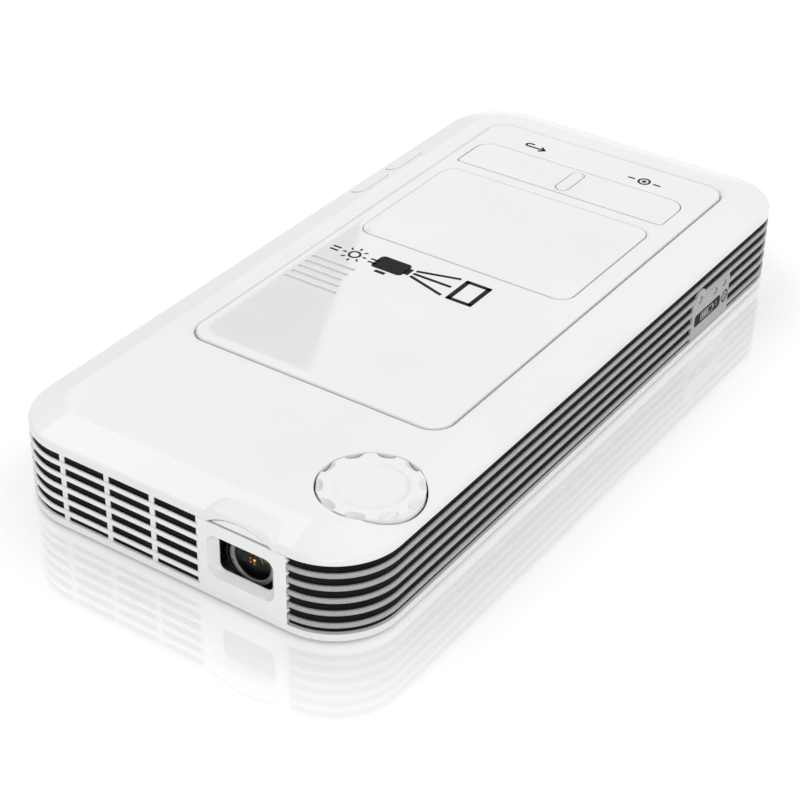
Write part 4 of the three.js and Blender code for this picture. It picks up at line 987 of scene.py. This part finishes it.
def makeBadges():
    face = caseRight - band["badgeSink"]
    badge = platePart("chargeBadge", lambda inset: roundedLoop(
        chargeBox[1] + inset, chargeBox[4] - inset, chargeBox[2] + inset, chargeBox[5] - inset, 0.6, 8),
        0.45, face, 0.08)
    shaded(badge, printInk)
    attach(badge, "case")
    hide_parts("charge_badge")
    middleY, middleZ = (chargeBox[1] + chargeBox[4]) / 2, (chargeBox[2] + chargeBox[5]) / 2

    def onBadge(u, v, level):
        return (face - 0.01 + 0.025 * level, middleY + u, middleZ + v)

    shell = [bar(-2.4, 0.62, 1.9, 0.62, 0.16), bar(-2.4, -0.62, 1.9, -0.62, 0.16),
             bar(-2.4, -0.7, -2.4, 0.7, 0.16), bar(1.9, -0.7, 1.9, 0.7, 0.16), bar(2.05, 0, 2.4, 0, 0.5)]
    cells = [bar(left, 0, left + 0.6, 0, 0.8) for left in (-1.95, -1.1, -0.25)]
    flash = [bar(3.1, 0.5, 3.45, -0.02, 0.2), bar(3.4, 0.05, 3.0, 0.0, 0.2), bar(3.05, 0.02, 3.4, -0.5, 0.2)]
    flatMark("chargeSign", [*shell, *cells, *flash], onBadge, silverPaint)
    power = Vector(((powerBox[1] + powerBox[4]) / 2, (powerBox[2] + powerBox[5]) / 2))
    powerRadius = (powerBox[4] - powerBox[1]) / 2
    profile = roundedPath([(0, face - 0.45), (powerRadius, face - 0.45), (powerRadius, face), (0, face)],
                          [0.02, 0.1], 4)
    button = lathe("powerBadge", profile, (0, power.x, power.y), "X", 40)
    shaded(button, silverPaint)
    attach(button, "case")
    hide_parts("power_badge")

    def onButton(u, v, level):
        return (face - 0.01 + 0.025 * level, power.x + u, power.y + v)

    sign = [*wholeRing(0, 0, powerRadius - 0.16, 0.2), ringBand(0, -0.03, 0.45, 0.17, 125, 415),
            bar(0, 0.08, 0, 0.62, 0.17)]
    flatMark("powerSign", sign, onButton, printInk)


makeSideRibs()
makeLightPlate()
makeLights()
makeBadges()
print("right side ready")


padBox, keyBox, pinBox = span("touch_pad"), span("rocker_key"), span("rocker_pivot_pin")
panel = {"radius": 3.5, "edge": 0.75, "drop": 0.08, "padRadius": 2.5, "padGap": 0.08, "padLip": 0.55,
         "keyGap": 0.2, "keyDrop": 0.09, "slotPitch": 1.9, "slotWidth": 0.8, "slotLeft": 1.5,
         "slotBehindPad": 11.5, "slotLengths": (8.6, 8.6, 8.6, 9.5, 10.4)}
panelTop = panelBox[5] - panel["drop"]
keyRadii = [0.6, 3, 3, 0.6]
slotBack = padBox[1] - panel["slotBehindPad"]


def prismCutter(name, box, radius, floor, top, gap, lip):
    radii = radius if isinstance(radius, list) else [radius] * 4
    return loft(name, [[(x, y, z) for x, y in roundedLoop(
        box[0] - out, box[3] + out, box[1] - out, box[4] + out, [r + out for r in radii], 10)]
        for out, z in flared(gap, lip, floor, top)])


def makeTopPanel():
    plate = slab("topPanel", (panelBox[0], panelBox[3], panelBox[1], panelBox[4]), panel["radius"],
                 panelBox[2], panelTop, 0.1, panel["edge"], 14)
    pad = prismCutter("padCut", padBox, panel["padRadius"], padBox[2] - 0.15, panelTop, panel["padGap"],
                      panel["padLip"])
    # the key's hole sits a little forward, so the wider gap is along the key's front
    keyHole = [keyBox[0], keyBox[1] - 0.1, 0, keyBox[3], keyBox[4] - 0.12]
    key = prismCutter("keyCut", keyHole, keyRadii, panelBox[2] - 1, panelTop, panel["keyGap"], 0.08)
    slots = []
    for row, length in enumerate(panel["slotLengths"]):
        y = slotBack - row * panel["slotPitch"]
        left = panelBox[0] + panel["slotLeft"]
        half = panel["slotWidth"] / 2
        slots.append(prismCutter("slotCut", (left, y - half, 0, left + length, y + half), 0.36,
                                 panelTop - 0.45, panelTop, 0, 0.16))
    cutWith(plate, pad, key, *slots)
    shaded(turnedOut(plate), glossWhiteAbs)
    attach(plate, "case")
    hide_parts("top_panel")


def makeTouchPad():
    pad = slab("touchPad", (padBox[0], padBox[3], padBox[1], padBox[4]), panel["padRadius"], padBox[2],
               padBox[5], 0.05, 0.4, 12)
    shaded(pad, glossWhiteAbs)
    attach(pad, "case")
    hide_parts("touch_pad")


def makeRockerKey():
    top = keyBox[5] - panel["keyDrop"]
    key = slab("rockerKey", (keyBox[0], keyBox[3], keyBox[1], keyBox[4]), keyRadii, top - 1.3, top, 0.1,
               0.16, 10)
    x, y = (keyBox[0] + keyBox[3]) / 2, (keyBox[1] + keyBox[4]) / 2
    moat = prismCutter("moat", (x - 1.34, y - 3.89, 0, x + 1.34, y + 3.89), 1.34, top - 0.4, top, 0, 0.04)
    cutWith(key, moat)
    pill = slab("pill", (x - 1.15, x + 1.15, y - 3.7, y + 3.7), 1.15, top - 0.45, keyBox[5], 0.02, 0.15, 10)
    saddle = slab("saddle", (x - 1.5, x + 1.5, keyBox[1] + 2, keyBox[4] - 2), 0.2, keyBox[2], top - 1.25,
                  0.02, 0.02, 3)
    pinZ = (pinBox[2] + pinBox[5]) / 2
    bore = lathe("bore", [(0.6, keyBox[1] - 1), (0.6, keyBox[4] + 1)], (x, 0, pinZ), "Y", 24)
    mouth = slab("mouth", (x - 0.6, x + 0.6, keyBox[1] - 1, keyBox[4] + 1), 0.1, pinZ - 3, pinZ,
                 0.02, 0.02, 2)
    cutWith(saddle, bore, mouth)
    whole = joined("rockerKey", key, pill, saddle)
    shaded(turnedOut(whole), keyGreyAbs)
    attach(whole, "rocker")
    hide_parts("rocker_key")


def makeVolumeKeys():
    for node, body, name in (("volume_down_key", "volume_down", "volumeDownKey"),
                             ("volume_up_key", "volume_up", "volumeUpKey")):
        key = volumeSlab(name, volumeMiddles[node], 0, -1.4, 0.17, 0.12)
        shaded(turnedOut(key), glossWhiteAbs)
        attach(key, body)
        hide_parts(node)


def onPanel(x, y):  # marks read from the back of the case, so their up is towards the lens

    def place(u, v, level):
        return (x - u, y - v, panelTop - 0.01 + 0.03 * level)

    return place


def makePrintedMarks():
    back = [bar(-2.3, 0, 1.2, 0, 0.42), bar(-2.45, -0.12, -1.35, 0.85, 0.42),
            bar(-2.45, 0.12, -1.35, -0.85, 0.42), ringBand(1.2, -0.5, 0.5, 0.42, -90, 90, 20),
            bar(1.25, -1.0, 0.3, -1.0, 0.42)]
    flatMark("backSign", back, onPanel(-12.1, 51.3), printInk)
    select = [*wholeRing(0, 0, 1.0, 0.4), disc(0, 0, 0.42), bar(-3.2, 0, -1.8, 0, 0.4),
              bar(1.8, 0, 3.2, 0, 0.4)]
    flatMark("selectSign", select, onPanel(10.5, 51.4), printInk)
    # a little projector throwing its beam on a screen
    body = [roundedLoop(4.2, 10.2, -2.3, 1.7, 0.8, 5), bar(8.6, 2.5, 6.6, 2.5, 0.7)]
    lens = [bar(3.9, -1.3, 3.9, 0.7, 1.0)]
    beam = [bar(2.9, 0.6, -4.4, 2.7, 0.6), bar(2.9, -0.3, -4.4, -0.3, 0.6), bar(2.9, -1.2, -4.4, -3.3, 0.6)]
    screen = [bar(-5.8, -3.4, -5.8, 2.9, 0.9), bar(-9.8, -3.4, -9.8, 2.9, 0.9),
              bar(-10.2, 2.7, -5.4, 2.7, 0.8), bar(-10.2, -3.2, -5.4, -3.2, 0.8)]
    flatMark("beamSign", [*body, *lens, *beam, *screen], onPanel(-1.5, 1.0), printInk)
    rays = [bar(1.6 * math.cos(a), 1.6 * math.sin(a), 2.3 * math.cos(a), 2.3 * math.sin(a), 0.34)
            for a in [math.pi * i / 4 for i in range(8)]]
    strokes = [bar(left, v, left + 1.6, v, 0.4) for left in (-4.6, 3.0) for v in (0.5, -0.5)]
    lamp = [*wholeRing(0, 0, 0.95, 0.4), *rays, *strokes]
    flatMark("lampSign", lamp, onPanel(-15.7, 0.8), printInk)


makeTopPanel()
makeTouchPad()
makeRockerKey()
makeVolumeKeys()
makePrintedMarks()
print("panel ready")


dial = {"dishFloor": 0.42, "dishFrom": 4.85, "dishTo": 5.75, "scoops": 10, "scoopRadius": 7.35,
        "scoopSize": (0.75, 1.5, 1.15), "edge": 0.22}


def makeFocusDial():
    top, low = dialBox[5], dialBox[2]
    dish = [(dial["dishFrom"] + (dial["dishTo"] - dial["dishFrom"]) * i / 8,
             top - dial["dishFloor"] * (0.5 + 0.5 * math.cos(math.pi * i / 8))) for i in range(9)]
    rim = roundedPath([dish[-1], (dialRadius, top), (dialRadius, low), (1.5, low), (1.5, top - 0.8),
                       (0, top - 0.8)], [dial["edge"], 0.1, 0.02, 0.02], 5)
    profile = [(0, top - dial["dishFloor"]), *dish[:-1], *[tuple(point) for point in rim]]
    knob = lathe("focusDial", profile, dialCentre, steps=128)
    scoop = lathe("scoops", [(math.sin(math.pi * i / 12), -math.cos(math.pi * i / 12)) for i in range(13)],
                  (0, 0, 0), steps=28)
    across, along, deep = dial["scoopSize"]
    for vertex in scoop.data.vertices:
        spot = vertex.co / mm
        vertex.co = Vector((dial["scoopRadius"] + spot.x * across, spot.y * along,
                            top + 0.1 + spot.z * deep)) * mm
    grown(scoop, ringCopies, {
        "Count": dial["scoops"], "Centre": tuple(dialCentre * mm), "First Angle": 0.0,
        "Material": glossWhiteAbs})
    cutWith(knob, scoop)
    shaded(turnedOut(knob), glossWhiteAbs, 28)
    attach(knob, "dial")
    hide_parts("focus_dial")


makeFocusDial()
print("dial ready")


lens = {"ringInner": 3.15, "ringProud": 0.12, "keywayRadius": 0.22, "keywayReach": 3.55, "seatDepth": 0.3,
        "domeRise": 0.42, "hollowRise": 0.25, "baffleSteps": 6, "beadRadius": 0.2, "beadRise": 0.13}
# the four little condensers: how far right and up of the axis, and their glass, whose glow is a painted glint
# (three take the amber's shaded copy)
lensBeads = [(-0.4, 0.3, amberShadedCopyGlass), (0.3, 0.16, amberGlintGlass),
             (-0.36, -0.34, amberShadedCopyGlass), (0.3, -0.42, amberShadedCopyGlass)]


def makeLens():
    ringBox, glassBox = span("lens_ring"), span("front_lens")
    outer = (barrelBox[3] - barrelBox[0]) / 2
    front, back = barrelBox[1], barrelBox[4]
    axis = (lensX, 0, lensZ)
    tube = roundedPath([(outer - 0.5, back), (outer, back), (outer, front), (outer - 0.28, front),
                        (outer - 0.5, front + 0.45)], [0.1, 0.14, 0.08], 4)
    barrel = lathe("lensBarrel", [*tube, (outer - 0.5, back - 0.1)], axis, "Y", 96, closed=True)
    shaded(barrel, mountBlack)
    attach(barrel, "lens_group")
    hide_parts("lens_barrel")
    ringOuter, ringInner = (ringBox[3] - ringBox[0]) / 2, lens["ringInner"]
    ringFront, ringBack = front + lens["ringProud"], ringBox[4]
    profile = roundedPath([(ringInner, ringBack), (ringOuter, ringBack), (ringOuter, ringFront),
                           (ringInner + 0.2, ringFront), (ringInner, ringFront + 0.2)], [0.05, 0.15, 0.1], 4)
    ring = lathe("lensRing", [*profile, (ringInner, ringBack - 0.05)], axis, "Y", 96, closed=True)
    width, reach = lens["keywayRadius"], lens["keywayReach"]
    keyways = [lathe("keyway", [(width, ringFront - 1), (width, ringFront + 0.3)],
                     (lensX + reach * math.cos(a), 0, lensZ + reach * math.sin(a)), "Y", 16)
               for a in (math.radians(20), math.radians(200))]
    cutWith(ring, *keyways)
    shaded(turnedOut(ring), ringGrey)
    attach(ring, "lens_group")
    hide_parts("lens_ring")
    radius, seat = ringInner - 0.05, ringFront + lens["seatDepth"]
    turns = [math.pi / 2 * i / 16 for i in range(17)]
    dome = [(radius * math.sin(a), seat - lens["domeRise"] * math.cos(a)) for a in turns]
    hollow = [(radius * math.sin(a), seat + 0.05 - lens["hollowRise"] * math.cos(a)) for a in reversed(turns)]
    glass = lathe("frontGlass", [*dome, *hollow], axis, "Y", 72)
    shaded(glass, coatedGlass, 40)
    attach(glass, "lens_group")
    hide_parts("front_lens")
    # stepped black rings close behind the front glass, each catching a thin line of light
    steps, depth = [(radius + 0.3, seat + 0.1)], seat + 0.1
    for _ in range(lens["baffleSteps"]):
        steps += [(radius, depth), (radius - 0.12, depth - 0.03), (radius - 0.2, depth + 0.07)]
        radius, depth = radius - 0.38, depth + 0.05
    cupFloor = depth + 0.02
    baffle = lathe("lensBaffle", [*steps, (0.0, cupFloor), (0, glassBox[4]), (ringInner + 0.25, glassBox[4])],
                   axis, "Y", 72)
    shaded(baffle, mountBlack, 25)
    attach(baffle, "lens_group")
    # painted glints: each condenser glows amber though no lamp lights it
    for index, (u, v, material) in enumerate(lensBeads):
        profile = [(lens["beadRadius"] * math.sin(math.pi / 2 * i / 6),
                    seat - 0.02 - lens["beadRise"] * math.cos(math.pi / 2 * i / 6)) for i in range(7)]
        bead = lathe(f"condenserWithPaintedGlint{index + 1}", [*profile, (0, seat)], (lensX + u, 0, lensZ + v), "Y", 20)
        shaded(bead, material, 50)
        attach(bead, "lens_group")

    # painted reflections: two thin arcs behind the glass stand in for the coating's warm and green glints
    def behindGlass(u, v, level):
        return (lensX + u, seat - 0.06 + 0.03 * level, lensZ + v)

    flatMark("paintedGlintWarm", [ringBand(0, 0, 1.75, 0.16, 8, 62)], behindGlass, amberShadedCopyGlass,
             "lens_group")
    flatMark("paintedReflectionGreen", [ringBand(0, 0, 2.35, 0.5, 12, 48)], behindGlass, greenReflectionGlass,
             "lens_group")


makeLens()
print("lens ready")


rearBox, portBox = span("rear_panel"), span("left_port_panel")
rear = {"rows": 4, "columns": 4, "slotLength": 7.25, "firstRow": 1}


def makeRearPanel():
    sideStart = 2 * halfWay + (caseRight - corner) + corner * math.pi / 2
    wall = sweepRun("rearPanel", bandEnd + 0.15, sideStart + (caseBack - corner - rearBox[1]),
                    barSection(0, 1.5, wallBottom, wallTop, 0.12))
    x0 = -2 * vent["postPitch"] + vent["postWidth"] / 2
    z1 = rowTop(rear["firstRow"])
    slot = slab("rearSlots", (x0, x0 + rear["slotLength"], caseBack - 3, caseBack + 1), 0.02,
                z1 - vent["slot"], z1, 0.02, 0.02, 2)
    grown(slot, gridCopies, {
        "Columns": rear["columns"], "Column Step": (vent["postPitch"] * mm, 0, 0),
        "Rows": rear["rows"], "Row Step": (0, 0, -vent["pitch"] * mm), "Material": satinWhiteAbs})
    cutWith(wall, slot)
    shaded(turnedOut(wall), satinWhiteAbs)
    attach(wall, "case")
    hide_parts("rear_panel")
    # painted shade: a black plate behind the rear slots, standing for no part, darkens them
    lining = slab("rearSlotShade", (x0 - 1, -x0 + 1, caseBack - 2.0, caseBack - 1.6), 0.1, wallBottom + 0.5,
                  wallTop - 0.5, 0.05, 0.05, 2)
    shaded(lining, blackAbs)
    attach(lining, "case")


socketNames = {"dc_inlet": "dcInletSocket", "av_jack": "avJackSocket", "headphone_jack": "headphoneSocket"}


def makePortPanel():
    wall = slab("leftPortPanel", (caseLeft, caseLeft + 1.5, portBox[1], portBox[4]), 0.06, wallBottom,
                wallTop, 0.05, 0.05, 2)
    tools = []
    for node in socketNames:
        socket = span(f"{node}_socket")
        middle = (0, (socket[1] + socket[4]) / 2, (socket[2] + socket[5]) / 2)
        radius = (socket[4] - socket[1]) / 2 - 0.3
        profile = [(radius + 0.3, caseLeft - 1), (radius + 0.3, caseLeft), (radius, caseLeft + 0.3),
                   (radius, caseLeft + 3)]
        tools.append(lathe("hole", profile, middle, "X", 48))
    usb = span("mini_usb_socket")
    for inset, x0, x1 in ((-0.3, caseLeft - 1, caseLeft + 0.25), (0.0, caseLeft - 1, caseLeft + 3)):
        rim = 0.3 + inset
        loop = roundedLoop(usb[1] + rim, usb[4] - rim, usb[2] + rim, usb[5] - rim, 0.6 - inset, 6)
        tools.append(loft("hole", [upright(loop, x) for x in (x0, x1)]))
    cutWith(wall, *tools)
    shaded(turnedOut(wall), satinWhiteAbs)
    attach(wall, "case")
    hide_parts("left_port_panel")


def makeSockets():
    for node, name in socketNames.items():
        box = span(f"{node}_socket")
        middle = (0, (box[1] + box[4]) / 2, (box[2] + box[5]) / 2)
        radius, face = (box[4] - box[1]) / 2 - 0.02, box[0]
        bore = radius - 0.6
        profile = roundedPath([(bore, face + 6), (bore, face), (radius, face), (radius, box[3]), (0, box[3]),
                               (0, face + 6)], [0.12, 0.2, 0.1, 0.02], 4)
        shell = lathe(name, profile, middle, "X", 56, closed=True)
        shaded(shell, blackAbs)
        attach(shell, "case")
        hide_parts(f"{node}_socket")
        sides = [(bore - 0.05, face + 0.5), (bore - 0.05, face + 5), (bore - 0.3, face + 5),
                 (bore - 0.3, face + 0.5)]
        contact = lathe(name + "Contact", sides, middle, "X", 48, closed=True)
        if node == "dc_inlet":  # only the power inlet has a pin in its middle
            profile = roundedPath([(0, face + 0.9), (0.45, face + 1.1), (0.45, face + 6.2), (0, face + 6.2)],
                                  [0.2, 0.02], 4)
            contact = joined(name + "Contact", contact, lathe("pin", profile, middle, "X", 24))
        shaded(contact, contactGold)
        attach(contact, "case")
    usb = span("mini_usb_socket")

    def shellLoop(inset, x):
        return upright(roundedLoop(usb[1] + inset, usb[4] - inset, usb[2] + inset, usb[5] - inset, 0.5, 6), x)

    shell = loft("usbSocket", [shellLoop(0.02, usb[0]), shellLoop(0.02, usb[3]), shellLoop(0.3, usb[3]),
                               shellLoop(0.3, usb[0])], closed=True)
    shaded(shell, platedSteel)
    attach(shell, "case")
    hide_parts("mini_usb_socket")
    blade = roundedLoop(usb[1] + 1.6, usb[4] - 1.6, usb[2] + 1.5, usb[5] - 1.5, 0.2, 4)
    tongue = loft("usbTongue", [upright(blade, x) for x in (usb[0] + 0.8, usb[3] - 0.2)])
    shaded(tongue, blackAbs)
    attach(tongue, "case")


makeRearPanel()
makePortPanel()
makeSockets()
print("back and left ready")


# The inner parts keep their CAD shapes and get their real finish.
innerFinishes = {
    "blackPlastic": (blackAbs, ["focus_cam", "lens_carriage", "engine_housing", "fan_frame", "fan_rotor",
                                "speaker"]),
    "steel": (platedSteel, ["rocker_pivot_pin", "dial_spindle", "guide_rod_left", "guide_rod_right"]),
    "aluminium": (drawnAluminium, ["engine_lid", "red_led_module", "blue_led_module", "green_led_module",
                                   "heat_sink"]),
    "glass": (coatedGlass, ["rear_lens", "prism_block"]),
    "foil": (foilWrap, ["battery_pack", "mirror_chip"]),
    "board": (boardGreen, ["main_board", "key_board"]),
}
for material, nodes in innerFinishes.values():
    for node in nodes:
        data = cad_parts[node].data
        data.materials.clear()
        data.materials.append(material)
print("inner parts finished")


studio = {"floorSize": 4000, "floorColour": "#fcfcfc", "floorGlow": 0.04,
          "skyLow": 0.74, "skyHigh": 1.14, "brightSide": (0.35, 0.45, 0.82),
          "keyPower": 0.12, "fillPower": 0.5,
          "cardHeight": 320, "cardShape": ((-22.6, -33.4), (-0.2, -33.4), (-22.6, 14.5))}


def makeFloor():
    size = studio["floorSize"]
    floor = newPiece("floor", [(-size, -size, 0), (size, -size, 0), (size, size, 0), (-size, size, 0)],
                     [(0, 1, 2, 3)])
    # a polished acrylic sheet: pale, with a clear reflection
    made, tree, place = startMaterial("glossPaleAcrylicSheet")
    haze = addNode(tree, "ShaderNodeTexNoise", {"Vector": place, "Scale": perSize(60), "Detail": 4.0})
    roughness = addNode(tree, "ShaderNodeMapRange", {0: haze.outputs[0], 3: 0.002, 4: 0.006})
    endMaterial(tree, {
        "Base Color": toLinear(studio["floorColour"]), "Roughness": roughness.outputs[0], "IOR": 1.9,
        "Emission Color": (1, 1, 1, 1), "Emission Strength": studio["floorGlow"]})
    floor.data.materials.append(made)


def makeArea(name, place, aim, size, power):
    data = bpy.data.lights.new(name, "AREA")
    data.shape = "RECTANGLE"
    data.size, data.size_y = size[0] * mm, size[1] * mm
    data.energy = power
    lamp = bpy.data.objects.new(name, data)
    lamp.location = Vector(place) * mm
    lamp.rotation_euler = (Vector(aim) - Vector(place)).to_track_quat("-Z", "Y").to_euler()
    bpy.context.scene.collection.objects.link(lamp)


def makeCard():  # a black card overhead: mirrored in the gloss it shades the panel's left part
    eye = Vector(camera["place"])
    eye.z = 2 * panelTop - eye.z
    grow = (studio["cardHeight"] - eye.z) / (panelTop - eye.z)
    corners = [eye + (Vector((x, y, panelTop)) - eye) * grow for x, y in studio["cardShape"]]
    card = newPiece("card", corners, [(0, 1, 2)])
    # matt black board whose fibres show only close up
    made, tree, place = startMaterial("blackCardBoard")
    fibre = addNode(tree, "ShaderNodeTexNoise", {"Vector": place, "Scale": perSize(1.5), "Detail": 3.0})
    tone = addNode(tree, "ShaderNodeMix", {
        0: fibre.outputs[0], 6: toLinear("#0a0a0a"), 7: toLinear("#121212")}, data_type="RGBA")
    endMaterial(tree, {"Base Color": tone.outputs[2], "Roughness": 0.9})
    card.data.materials.append(made)


def makeStudio():
    world = bpy.data.worlds.new("soft room")
    world.use_nodes = True
    tree = world.node_tree
    tree.nodes.clear()
    towards = addNode(tree, "ShaderNodeTexCoord").outputs["Generated"]
    facing = addNode(tree, "ShaderNodeVectorMath", {0: towards, 1: studio["brightSide"]},
                     operation="DOT_PRODUCT")
    level = addNode(tree, "ShaderNodeMapRange", {
        0: facing.outputs["Value"], 1: -0.25, 2: 0.95, 3: studio["skyLow"], 4: studio["skyHigh"]})
    sky = addNode(tree, "ShaderNodeBackground", {"Color": (1, 1, 1, 1), "Strength": level.outputs[0]})
    addNode(tree, "ShaderNodeOutputWorld", {"Surface": sky.outputs[0]})
    bpy.context.scene.world = world
    makeArea("key", (-300, 60, 420), (0, 0, 10), (220, 220), studio["keyPower"])
    makeArea("fill", (270, -520, 150), (10, -60, 8), (420, 220), studio["fillPower"])
    bpy.context.scene.view_settings.view_transform = "Standard"


makeFloor()
makeCard()
makeStudio()
print("studio ready")
